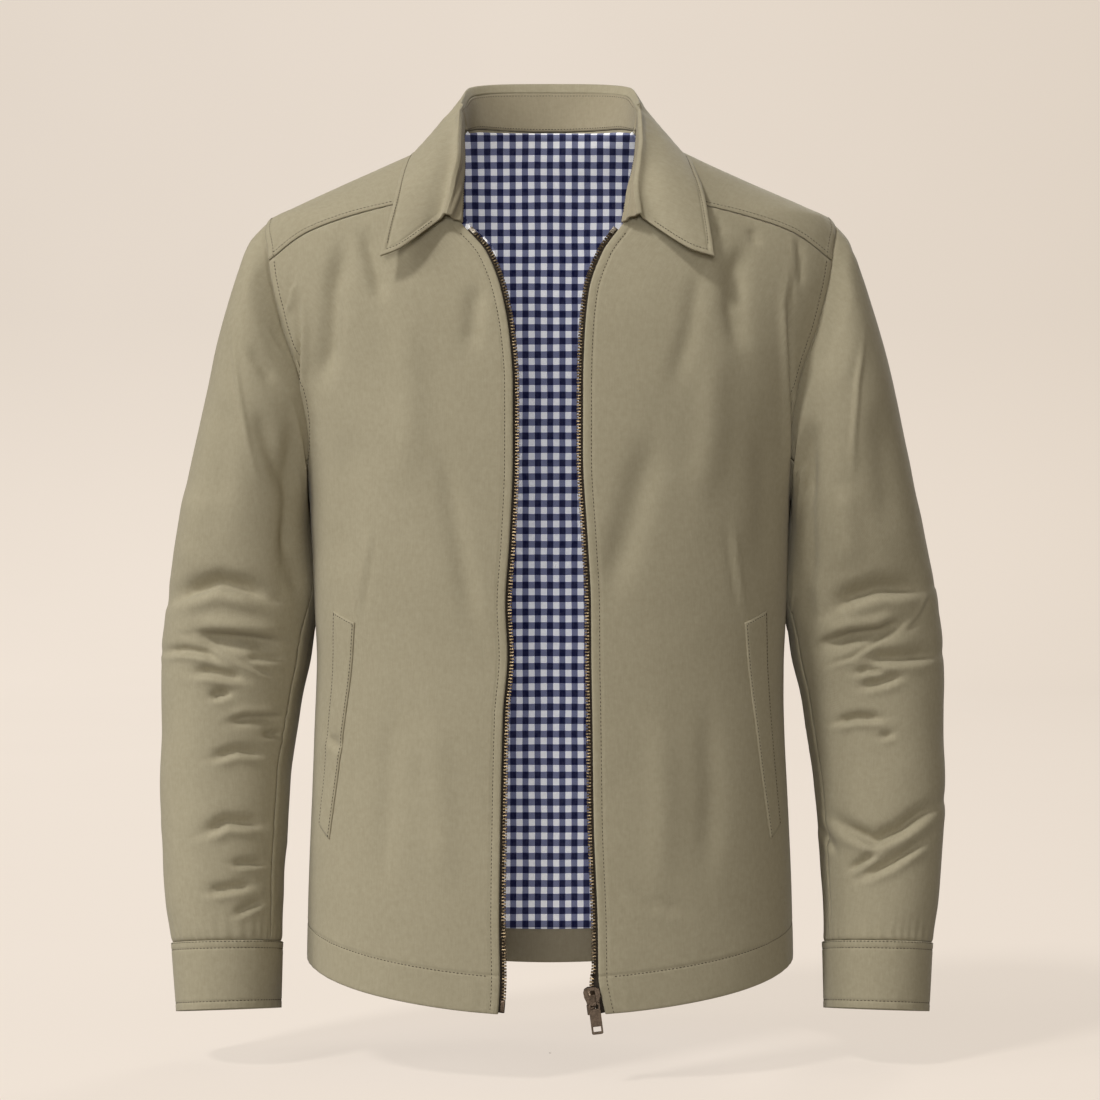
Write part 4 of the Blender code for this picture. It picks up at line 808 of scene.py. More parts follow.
@dataclass
class ClothPiece:
    """A piece of cloth of one thickness, made of patches that share their edges."""

    name: str
    node: str
    patches: list[Patch]
    flat: Cut
    finish: Finish = Finish.SHELL
    thickness: float = CLOTH

    def build(self) -> bpy.types.Object:
        """Make the piece's outer face, and give it its wall.

        Returns:
            The new object.
        """
        bm = bmesh.new()
        cut = bm.verts.layers.float_vector.new("cut")
        for patch in self.patches:
            self.add_grid(bm, patch, cut)
        bmesh.ops.remove_doubles(bm, verts=bm.verts, dist=0.00002)
        mesh = bpy.data.meshes.new(self.name)
        corners = [tuple(corner.vert[cut].xy) for face in bm.faces for corner in face.loops]
        bm.to_mesh(mesh)
        bm.free()
        uv = mesh.uv_layers.new(name="cut")
        uv.data.foreach_set("uv", np.array(corners, np.float32).ravel())
        mesh.shade_smooth()
        piece = add_object(self.name, mesh)
        wall = piece.modifiers.new("wall", "SOLIDIFY")
        wall.thickness = self.thickness
        wall.offset = -1.0
        wall.use_even_offset = False
        return dress(piece, self.finish, self.node)

    def add_grid(self, bm: bmesh.types.BMesh, patch: Patch, cut: object) -> None:
        """Add one patch as a grid that faces outwards.

        Args:
            bm: the mesh being made.
            patch: the patch.
            cut: layer for the place on the flat cloth.
        """
        columns, rows = len(patch.us) - 1, len(patch.vs) - 1
        outer = patch.points()
        flat = patch.cut(outer)
        middle = (columns // 2, rows // 2)
        along = outer[middle[0] + 1, middle[1]] - outer[middle]
        down = outer[middle[0], middle[1] + 1] - outer[middle]
        at = (patch.us[middle[0]:][:1], patch.vs[middle[1]:][:1])
        out = patch.place(*at, 0.0)[0] - patch.place(*at, 0.001)[0]
        turned = np.dot(np.cross(along, down), out) < 0
        made = bmesh.ops.create_grid(bm, x_segments=columns, y_segments=rows, size=0.5)
        for vertex in made["verts"]:
            i = round((vertex.co.x + 0.5) * columns)
            j = round((vertex.co.y + 0.5) * rows)
            vertex.co = outer[i, j]
            vertex[cut] = (*flat[i, j], 0)
        if turned:
            faces = {face for vertex in made["verts"] for face in vertex.link_faces}
            bmesh.ops.reverse_faces(bm, faces=list(faces))


def add_object(name: str, data: bpy.types.ID) -> bpy.types.Object:
    """A new object in the scene."""
    made = bpy.data.objects.new(name, data)
    bpy.context.scene.collection.objects.link(made)
    return made


def dress(piece: bpy.types.Object, finish: Finish, *nodes: str,
          body: str = BODY) -> bpy.types.Object:
    """Give a piece its material and body, and hide the CAD nodes that it stands for.

    Args:
        piece: the object.
        finish: its finish.
        nodes: CAD nodes that it stands for.
        body: the CAD body that it rides on.

    Returns:
        The same object.
    """
    piece.data.materials.clear()
    piece.data.materials.append(MATERIALS[finish])
    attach(piece, body)
    if nodes:
        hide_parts(*nodes)
    log.info("%s: %d faces", piece.name, len(piece.data.polygons))
    return piece


@dataclass
class Panel:
    """Body cloth: a patch of (angle, height) with its creases and seams."""

    patch: Callable[[Array, Array], Place]
    seams: list[Seam] = field(default_factory=list)
    share: float = 1.0
    waves: float = 0.0009
    wave_sizes: tuple[float, float] = (0.075, 0.026)
    fine_share: float = 0.35
    side_blend: float = 0.24

    def place(self, u: Array, v: Array, depth: float = 0.0) -> Array:
        """Points of the cloth.

        Args:
            u: shares across.
            v: shares down.
            depth: how far inside the outer face.

        Returns:
            One point a row.
        """
        angle, height = self.patch(np.asarray(u, float), np.asarray(v, float))
        points = torso(angle, height)
        seen = as_seen(points)
        front = ease(np.cos(angle) / self.side_blend + 0.5)
        rise = crease_rise(FRONT_CREASES, seen) * front
        rise = rise + crease_rise(BACK_CREASES, seen) * (1 - front)
        broad, fine = self.wave_sizes
        rise += (self.waves * drift(points, broad, 3)
                 + self.fine_share * self.waves * drift(points, fine, 8))
        rise *= self.share
        for seam in self.seams:
            rise += seam.rise(points)
        return points + torso_normal(angle, height) * (rise - depth)[:, None]


def path_inset(place: Callable, along: str, inset: float, start: float, end: float,
               count: int = 240) -> tuple[Array, Array]:
    """A line parallel to one side of a panel.

    Args:
        place: the panel's points by u, v and depth.
        along: the side: u0, u1, v0 or v1.
        inset: distance from that side, in metres.
        start: first share along the side.
        end: last share along it.
        count: number of points.

    Returns:
        The shares u and v of each point.
    """
    order = 1 if along[0] == "u" else -1
    run = np.linspace(start, end, count)
    fixed = np.full(count, float(along[1]))
    step = 0.004 if along[1] == "0" else -0.004
    here, beside = (place(*(share, run)[::order], 0.0) for share in (fixed, fixed + step))
    shift = step * inset / np.linalg.norm(beside - here, axis=1)
    return (fixed + shift, run)[::order]


def repeat(bm: bmesh.types.BMesh, turns: Array, centres: Array, make: Callable,
           finish: Callable | None = None) -> None:
    """Add one small shape many times, in batches, which is quicker than one by one.

    Args:
        bm: the mesh being made.
        turns: a 3 by 3 matrix for each copy.
        centres: the middle of each copy.
        make: adds one copy to a bmesh, by its matrix.
        finish: works over a batch, such as a bevel.
    """
    batch = bpy.data.meshes.new("batch")
    for first in range(0, len(centres), 40):
        part = bmesh.new()
        for turn, centre in zip(turns[first:first + 40], centres[first:first + 40]):
            matrix = Matrix(turn.tolist()).to_4x4()
            matrix.translation = centre
            make(part, matrix)
        if finish:
            finish(part)
        part.to_mesh(batch)
        part.free()
        bm.from_mesh(batch)
    bpy.data.meshes.remove(batch)


@dataclass
class Stitching:
    """Rows of stitches joined in one piece."""

    name: str
    length: float = 0.0021
    pitch: float = 0.0030
    thick: float = 0.00068
    rows: list[tuple[Callable, Array, Array, float]] = field(default_factory=list)

    def add(self, place: Callable, u: Array, v: Array, sink: float = -0.00012) -> None:
        """Add a row at shares u and v, its thread's middle `sink` under the cloth's face."""
        self.rows.append((place, u, v, sink))

    def build(self) -> bpy.types.Object:
        """Make every stitch of every row.

        Returns:
            The joined stitches.
        """
        bm = bmesh.new()
        for place, u, v, sink in self.rows:
            walked = walk(place(u, v, 0.0))
            marks = np.arange(self.pitch / 2, walked[-1], self.pitch)
            middles, ahead, behind = (
                [np.interp(marks + shift, walked, shares) for shares in (u, v)]
                for shift in (0.0, self.length / 2, -self.length / 2))
            centre = place(*middles, sink)
            out = unit(place(*middles, 0.0) - place(*middles, 0.001))
            run = place(*ahead, sink) - place(*behind, sink)
            long = np.linalg.norm(run, axis=1)
            along = unit(run)
            across = np.cross(along, out)
            turns = np.stack([along * long[:, None], across * self.thick,
                              out * self.thick * 0.8], 2)
            repeat(bm, turns, centre, lambda part, turn: bmesh.ops.create_icosphere(
                part, subdivisions=1, radius=0.5, matrix=turn))
        return finished(self.name, bm, Finish.THREAD)


def finished(name: str, bm: bmesh.types.BMesh, finish: Finish, *nodes: str,
             body: str = BODY, smooth: bool = True) -> bpy.types.Object:
    """Turn a bmesh into a dressed object.

    Args:
        name: the piece's name.
        bm: its mesh.
        finish: its finish.
        nodes: CAD nodes that it stands for.
        body: the CAD body that it rides on.
        smooth: whether its faces are shaded smooth.

    Returns:
        The new object.
    """
    bmesh.ops.recalc_face_normals(bm, faces=bm.faces)
    mesh = bpy.data.meshes.new(name)
    bm.to_mesh(mesh)
    bm.free()
    if smooth:
        mesh.shade_smooth()
    return dress(add_object(name, mesh), finish, *nodes, body=body)


def round_edges(piece: bpy.types.Object, width: float, angle: float) -> None:
    """Round a piece's edges that turn by more than an angle in degrees."""
    soft = piece.modifiers.new("rounded", "BEVEL")
    soft.width = width
    soft.segments = 2
    soft.limit_method = "ANGLE"
    soft.angle_limit = radians(angle)


@dataclass
class BodyCloth:
    """Fronts, back and yoke of the shell, with their topstitching."""

    arm_band: float = 0.0066
    yoke_stitch: float = 0.0037
    front_stitch: float = 0.0066
    hem_stitch: float = 0.0290
    band_lift: float = 0.00055
    yoke_band: float = 0.0043
    yoke_arm: float = 2 / 7.34

    @property
    def arm_stitch(self) -> float:
        """Way from the armhole to its stitches."""
        return self.arm_band - 0.0004

    def __post_init__(self) -> None:
        """Lay out the panels and their seams."""
        self.arm = {side: line_of(lambda t, side=side: armhole(side, t % 1.0), count=110)
                    for side in SIDES}
        self.yoke_line = {side: line_of(lambda t, side=side: yoke_front_seam(side, t))
                          for side in SIDES}
        self.back_line = line_of(lambda t: back_panel(t, 0.0), count=90)
        self.front = {side: self.make_front(side) for side in SIDES}
        self.back = Panel(back_panel, [
            *(self.arm_seam(side) for side in SIDES),
            Seam(self.back_line, groove=0.0009, reach=0.0014),
            *(Seam(line_of(lambda t, side=side: side_seam(side, t, False), start=ARM_SHARE))
              for side in SIDES),
            self.hem_seam(lambda t: back_panel(t, 1.0))])
        self.yoke = Panel(yoke_patch, [
            *(self.arm_seam(side) for side in SIDES),
            *(Seam(line, band=self.band_lift, width=self.yoke_band, stitch=self.yoke_stitch)
              for line in (*self.yoke_line.values(), self.back_line))])

    def arm_seam(self, side: int) -> Seam:
        """The felled armhole seam as the body side shows it."""
        return Seam(self.arm[side], groove=0.0, band=self.band_lift, width=self.arm_band,
                    stitch=self.arm_stitch, pucker=0.00016)

    def hem_seam(self, place: Callable) -> Seam:
        """The hem: its stitch line pulls the cloth in a little."""
        return Seam(line_of(place), groove=0.0003, stitch=self.hem_stitch, pucker=0.0002,
                    period=0.012, spread=0.034)

    def make_front(self, side: int) -> Panel:
        """One front panel with its seams.

        Args:
            side: RIGHT or LEFT.

        Returns:
            The panel.
        """
        def patch(u: Array, v: Array) -> Place:
            return front_panel(side, u, v)

        edge = line_of(lambda t: front_panel(side, 1.0, t), start=NECK_ROWS / PANEL_ROWS)
        return Panel(patch, [
            self.arm_seam(side),
            Seam(self.yoke_line[side], groove=0.0009, reach=0.0014, pucker=0.00035),
            Seam(line_of(lambda t: side_seam(side, t, True), start=ARM_SHARE)),
            Seam(edge, groove=0.0003, stitch=self.front_stitch, pucker=0.00014, period=0.014),
            self.hem_seam(lambda t: front_panel(side, t, 1.0))])

    def build(self) -> None:
        """Make the four shell pieces and their stitching."""
        rows = spaced((0, 0.012, 8), (0.012, 0.925, 180), (0.925, 1, 38))
        columns = spaced((0, 0.06, 17), (0.06, 0.93, 48), (0.93, 1, 15))
        for side, name in SIDES.items():
            front = self.front[side]
            ClothPiece(f"shell_front_{name}", f"front_{name}",
                       [Patch(columns, rows, front.place, 1.0)],
                       Cut(0.240, 0.660, 0.131, "hung", "shell_yoke")).build()
        back_columns = spaced((0, 0.025, 14), (0.025, 0.975, 112), (0.975, 1, 14))
        back_rows = spaced((0, 0.01, 5), (0.01, 0.925, 145), (0.925, 1, 38))
        ClothPiece("shell_back", "back", [Patch(back_columns, back_rows, self.back.place)],
                   Cut(0.540, 0.600, 0.288, "hung", "shell_yoke")).build()
        yoke_columns = spaced((0, 0.02, 12), (0.02, 0.98, 200), (0.98, 1, 12))
        yoke_rows = spaced((0, 0.88, 32), (0.88, 1, 20))
        ClothPiece("shell_yoke", "yoke", [Patch(yoke_columns, yoke_rows, self.yoke.place)],
                   Cut(0.500, 0.240, 0.090, "hung", "collar_stand_cloth")).build()
        self.stitch()

    def stitch(self) -> None:
        """Topstitching of the body."""
        arm = Stitching("stitches_armholes")
        seams = Stitching("stitches_yoke")
        edges = Stitching("stitches_fronts_and_hem")
        back, yoke = self.back.place, self.yoke.place
        for side, edge in ((RIGHT, "u0"), (LEFT, "u1")):
            place = self.front[side].place
            arm.add(place, *path_inset(place, "u0", self.arm_stitch, 0.012, ARM_SHARE))
            edges.add(place, *path_inset(place, "u1", self.front_stitch, 0.17, 0.998))
            edges.add(place, *path_inset(place, "v1", self.hem_stitch, 0.0, 0.965))
            arm.add(back, *path_inset(back, edge, self.arm_stitch, 0.012, ARM_SHARE))
        edges.add(back, *path_inset(back, "v1", self.hem_stitch, 0.0, 1.0))
        for start, end in ((0.0, self.yoke_arm), (1 - self.yoke_arm, 1.0)):
            arm.add(yoke, *path_inset(yoke, "v1", self.arm_stitch, start, end))
        for edge in ("u0", "u1"):
            seams.add(yoke, *path_inset(yoke, edge, self.yoke_stitch, 0.02, 0.97))
        seams.add(yoke, *path_inset(yoke, "v1", self.yoke_stitch, self.yoke_arm,
                                    1 - self.yoke_arm))
        for rows in (arm, seams, edges):
            rows.build()


@dataclass
class Lining:
    """Checked lining, hung inside the shell, and the turned hem below it."""

    cloth: BodyCloth
    roll_out: float = 0.0085
    roll_heights: tuple[float, float] = (-0.094, -0.050)
    roll_from: float = 0.86
    roll_reach: float = 0.14
    roll_puff: float = 0.004
    roll_waves: float = 0.0011

    def panel(self, patch: Callable[[Array, Array], Place]) -> Panel:
        """A panel that hangs as the lining does."""
        return Panel(patch, share=0.75, waves=0.0010)

    def deep(self, panel: Panel) -> Callable:
        """A panel's points at the lining's depth."""
        return lambda u, v, depth: panel.place(u, v, depth + LINING_DEPTH)

    def rolled(self, side: int, panel: Panel) -> Callable:
        """A front lining's points, with its edge rolled out past the zip at the neck."""
        deep = self.deep(panel)

        def place(u: Array, v: Array, depth: float) -> Array:
            points = deep(u, v, depth)
            if side == LEFT:
                return points
            low, high = self.roll_heights
            share = (points[:, 2] - low) / (high - low)
            bump = np.where((share > 0) & (share < 1), np.sin(PI * np.clip(share, 0, 1)) ** 0.7, 0)
            near = ease((u - self.roll_from) / self.roll_reach) * bump
            waves = self.roll_waves * np.sin(70 * u + 5 * share) * near
            points[:, 0] += self.roll_out * near
            points[:, 1] += self.roll_puff * near * (1 - near) + waves
            return points
        return place

    def build(self) -> None:
        """Make the lining and the hem facing."""
        ridge = ARM_CELLS_YOKE / YOKE_COLUMNS
        back_top = self.panel(lambda u, v: yoke_patch(mix(ridge, 1 - ridge, u), v))
        back_body = self.panel(lambda u, v: back_panel(u, v * LINING_END))
        cells = YOKE_COLUMNS - 2 * ARM_CELLS_YOKE
        shoulder = ARM_CELLS_YOKE / cells
        columns = spaced((0, 1, 110))
        wide = spaced((0, shoulder, 24), (shoulder, 1 - shoulder, 110), (1 - shoulder, 1, 24))
        ClothPiece("lining_back_check", "lining_back",
                   [Patch(wide, spaced((0, 1, 26)), self.deep(back_top), by_height=True),
                    Patch(columns, spaced((0, 1, 90)), self.deep(back_body), by_height=True)],
                   Cut(0.600, 0.770, 0.327, "hung", "shell_yoke"), Finish.CHECK,
                   LINING_CLOTH).build()
        for side, name in SIDES.items():
            start = 0.0 if side == RIGHT else 1 - ridge
            top = self.panel(lambda u, v, start=start: yoke_patch(start + u * ridge, v))
            body = self.panel(lambda u, v, side=side: front_panel(side, u, v * LINING_END))
            place = self.rolled(side, body)
            across = spaced((0, 0.8, 20), (0.8, 1, 20))
            down = spaced((0, 0.25, 46), (0.25, 1, 54))
            ClothPiece(f"lining_front_{name}_check", f"lining_front_{name}",
                       [Patch(spaced((0, 1, 20)), spaced((0, 1, 26)), self.deep(top),
                              by_height=True),
                        Patch(across, down, place, by_height=True)],
                       Cut(0.235, 0.800, 0.132, "hung", f"shell_front_{name}"), Finish.CHECK,
                       LINING_CLOTH).build()
        self.build_facing()

    def build_facing(self) -> None:
        """Make the turned hem that shows inside below the lining."""
        strips = []
        for patch, cells in ((lambda u, v: front_panel(RIGHT, u, v), 50), (back_panel, 120),
                             (lambda u, v: front_panel(LEFT, u, v), 50)):
            panel = self.panel(lambda u, v, patch=patch: patch(u, mix(LINING_END, 1, v)))
            panel.seams.append(Seam(line_of(lambda t, patch=patch: patch(t, LINING_END))))
            strips.append(Patch(spaced((0, 1, cells)), spaced((0, 1, 12)), self.deep(panel)))
        ClothPiece("hem_facing_cloth", "hem_facing", strips,
                   Cut(0.974, 0.033, 0.030, "folded", "shell_back"), Finish.INSIDE).build()


# ---- sleeves ------------------------------------------------------------------------------
@dataclass
class Sleeve:
    """One sleeve: top and under piece, and its cuff. turn 0 is outwards, 0.25 the front."""

    side: int
    under: float
    squareness: float = 2.15
    armhole_fade: float = 0.11
    left_out: float = 0.0040
    tilt: float = 0.19
    tilt_runs: tuple[float, float] = (0.30, 0.44)
    clear: float = 0.0012
    pressed: float = 0.0030
    waves: float = 0.0011
    fine_waves: float = 0.0004
    behind_share: float = 0.8
    behind_drop: int = 9
    under_top: float = 0.05
    girth: float = 0.30
    wrist: float = 0.27
    head_run: float = 0.012
    head_groove: float = 0.0013
    gathers: int = 34
    gather: float = 0.0004
    tuck_run: float = 0.5046
    tuck: float = 0.0030
    seam_groove: float = 0.0007
    seam_lip: float = 0.0003
    lying_rise: tuple[float, float] = (-0.0003, 0.0004)
    cuff_cloth: float = 0.0020
    cuff_proud: float = 0.0009
    cuff_dip: float = 0.0007
    cuff_waves: int = 26
    cuff_ripple: float = 0.00022
    cuff_grooves: tuple[float, float] = (0.0065, 0.0495)
    cuff_groove: float = 0.00045

    def oval(self, table: Table, turn: Array, run: Array) -> Array:
        """Points of the plain oval.

        Args:
            table: the guides down the arm.
            turn: shares round the arm.
            run: distances down the arm.

        Returns:
            One point a row.
        """
        angle = 2 * PI * turn
        along = power(np.cos(angle), 2 / self.squareness)
        across = power(np.sin(angle), 2 / self.squareness)
        outer_x, inner_x = table.outer_x(run), table.inner_x(run)
        outer_z, inner_z = table.outer_z(run), table.inner_z(run)
        front, back = table.front(run), table.back(run)
        start, full = self.tilt_runs
        tilt = self.tilt * ease((run - start) / (full - start))
        x = (outer_x + inner_x) / 2 + (outer_x - inner_x) / 2 * along
        y = (front + back) / 2 - (back - front) / 2 * across
        z = (outer_z + inner_z) / 2 + (outer_z - inner_z) / 2 * along
        z = z + (back - front) * tilt / 2 * across
        if self.side == LEFT:
            outer, inner = ease(run / 0.3), ease((run - 0.22) / 0.08)
            x = x + self.left_out * mix(inner, outer, (1 + along) / 2)
        return np.stack([x * self.side, y, z], -1)

    def plain(self, turn: Array, run: Array) -> Array:
        """Points of the sleeve without creases, kept clear of the body's side."""
        points = self.oval(SLEEVE, turn, run)
        own = torso(*armhole(self.side, turn % 1.0)) - self.oval(SLEEVE, turn, run * 0)
        points = points + own * (1 - ease(run / self.armhole_fade))[:, None]
        depth = np.where(points[:, 1] < 0, RINGS.front(points[:, 2]), RINGS.back(points[:, 2]))
        exponent = RINGS.squareness(points[:, 2])
        inside = np.maximum(1 - np.abs(points[:, 1] / depth) ** exponent, 0.0)
        wall = RINGS.half(points[:, 2]) * inside ** (1 / exponent)
        wall = wall + self.clear * ease(run / self.head_run)
        points[:, 0] = self.side * np.maximum(self.side * points[:, 0], wall)
        against = ease((run - 0.01) / 0.03) * ease((0.235 - run) / 0.03)
        points[:, 0] -= self.side * self.pressed * against * ease(-np.cos(2 * PI * turn))
        return points

    def normal(self, surface: Callable[[Array, Array], Array], turn: Array, run: Array) -> Array:
        """Outward directions of a tube.

        Args:
            surface: points by turn and run.
            turn: shares round the arm.
            run: distances down the arm.

        Returns:
            One direction a row.
        """
        step = 0.003
        around = surface(turn + step, run) - surface(turn - step, run)
        along = surface(turn, run + step) - surface(turn, np.maximum(run - step, 0))
        return unit(np.cross(around, along)) * self.side

    def creases(self, points: Array, turn: Array) -> Array:
        """Rise of the sleeve's creases; the back half wears the other arm's, a little lower."""
        front = ease(0.5 + 1.3 * np.sin(2 * PI * turn))
        seen = as_seen(points)
        behind = seen * (-1, 1) + (0, self.behind_drop)
        rise = crease_rise(SLEEVE_CREASES[self.side], seen) * front
        rise += self.behind_share * crease_rise(SLEEVE_CREASES[-self.side], behind) * (1 - front)
        rise += self.waves * drift(points, 0.060, 5) + self.fine_waves * drift(points, 0.022, 9)
        return rise

    def place(self, turn: Array, run: Array, depth: float = 0.0) -> Array:
        """Points of the sleeve, `depth` inside its outer face; run < 0 is its seam allowance."""
        sewn, run = np.minimum(run, 0.0), np.maximum(run, 0.0)
        points = self.plain(turn, run)
        rise = self.creases(points, turn) * ease((run - 0.004) / 0.02)
        rise *= ease((0.509 - run) / 0.012)
        rise -= self.head_groove * bell(run, 0.0008)
        wave = np.sin(2 * PI * turn * self.gathers + 2 * np.sin(2 * PI * turn * 5))
        rise += self.gather * wave * bell(CUFF_TOP - run, 0.016)
        rise -= 0.0008 * bell(CUFF_TOP - run, 0.0018)
        rise -= self.tuck * ease((run - self.tuck_run) / 0.0018)
        shown = ease((run - 0.20) / 0.06)
        for seam in (0.5 - self.half_under(run), 0.5 + self.half_under(run)):
            gap = np.abs(turn % 1.0 - seam) * self.girth
            rise -= shown * self.seam_groove * bell(gap, 0.0012)
            rise += shown * self.seam_lip * bell(gap - 0.0035, 0.0025)
        body = self.clear_push(points, rise)
        points = points + self.normal(self.plain, turn, run) * (body - depth)[:, None]
        return points + self.allowance(turn, -sewn)

    def allowance(self, turn: Array, reach: Array) -> Array:
        """Way from the armhole to a place `reach` under the body cloth."""
        ahead, behind = (torso(*armhole(self.side, (turn + step) % 1.0))
                         for step in (0.004, -0.004))
        out = torso_normal(*armhole(self.side, turn % 1.0))
        under = unit(np.cross(ahead - behind, out)) * self.side
        return under * reach[:, None] - out * (0.0006 * ease(reach / 0.002))[:, None]

    def half_under(self, run: Array) -> Array:
        """Half the under sleeve's share of the way round."""
        return mix(self.under_top, self.under, ease((run - 0.17) / 0.10))

    def clear_push(self, points: Array, rise: Array) -> Array:
        """Where the sleeve lies along the body's side, its creases are pressed flat."""
        across = np.abs(points[:, 0])
        close = (across < RINGS.half(points[:, 2]) + 0.004) & (points[:, 2] < -0.25)
        return np.where(close, np.clip(rise, *self.lying_rise), rise)

    def cuff(self, turn: Array, run: Array, depth: float = 0.0) -> Array:
        """Points of the cuff, which stands a little proud of the sleeve."""
        def plain(turn: Array, run: Array) -> Array:
            return self.oval(CUFF, turn, run)

        points = plain(turn, run)
        down = (run - CUFF_TOP) / (CUFF_FOOT - CUFF_TOP)
        rise = self.cuff_proud + 0.0007 * drift(points, 0.045, 12)
        rise -= self.cuff_dip * bell(run - CUFF_TOP, 0.0012)
        for line in self.cuff_grooves:
            rise -= self.cuff_groove * bell(run - CUFF_TOP - line, 0.0009)
        wave = np.sin(2 * PI * turn * self.cuff_waves + 3 * np.sin(2 * PI * turn * 3))
        rise += self.cuff_ripple * wave * (1 - ease(down * 3) + ease(down * 3 - 2))
        return points + self.normal(plain, turn, run) * (rise - depth)[:, None]

    def build(self) -> None:
        """Make the sleeve, the cuff and their stitching."""
        name = SIDES[self.side]
        head, tuck = self.head_run, self.tuck_run
        runs = spaced((-0.003, 0, 3), (0, head, 8), (head, 0.495, 235), (0.495, tuck, 7),
                      (tuck, 0.5080, 6))
        gap = SEAM_GAP / self.wrist / 2

        def top(u: Array, v: Array, depth: float) -> Array:
            half = self.half_under(v) + gap
            return self.place(mix(0.5 + half, 1.5 - half, u), v, depth)

        def below(u: Array, v: Array, depth: float) -> Array:
            half = self.half_under(v) - gap
            return self.place(mix(0.5 - half, 0.5 + half, u), v, depth)

        wide = spaced((0, 0.03, 8), (0.03, 0.97, 110), (0.97, 1, 8))
        narrow = spaced((0, 0.12, 6), (0.12, 0.88, 16), (0.88, 1, 6))
        ClothPiece(f"shell_sleeve_top_{name}", f"sleeve_top_{name}", [Patch(wide, runs, top)],
                   Cut(0.460, 0.600, 0.161, "hung", "shell_yoke")).build()
        ClothPiece(f"shell_sleeve_under_{name}", f"sleeve_under_{name}",
                   [Patch(narrow, runs, below)],
                   Cut(0.104, 0.404, 0.024, "hung", f"shell_sleeve_top_{name}")).build()

        def cuff_place(u: Array, v: Array, depth: float) -> Array:
            return self.cuff(u, mix(CUFF_TOP + SEAM_GAP, CUFF_FOOT, v), depth)

        down = spaced((0, 0.15, 10), (0.15, 0.8, 16), (0.8, 1, 12))
        ClothPiece(f"shell_cuff_{name}", f"cuff_{name}",
                   [Patch(spaced((0, 1, 110)), down, cuff_place)],
                   Cut(0.290, 0.055, 0.0151, "folded", f"shell_sleeve_top_{name}"),
                   thickness=self.cuff_cloth).build()
        rows = Stitching(f"stitches_cuff_{name}")
        turn = np.linspace(0, 1, 400)
        for line in (0.0013, *self.cuff_grooves):
            rows.add(self.cuff, turn, np.full_like(turn, CUFF_TOP + line))
        rows.build()


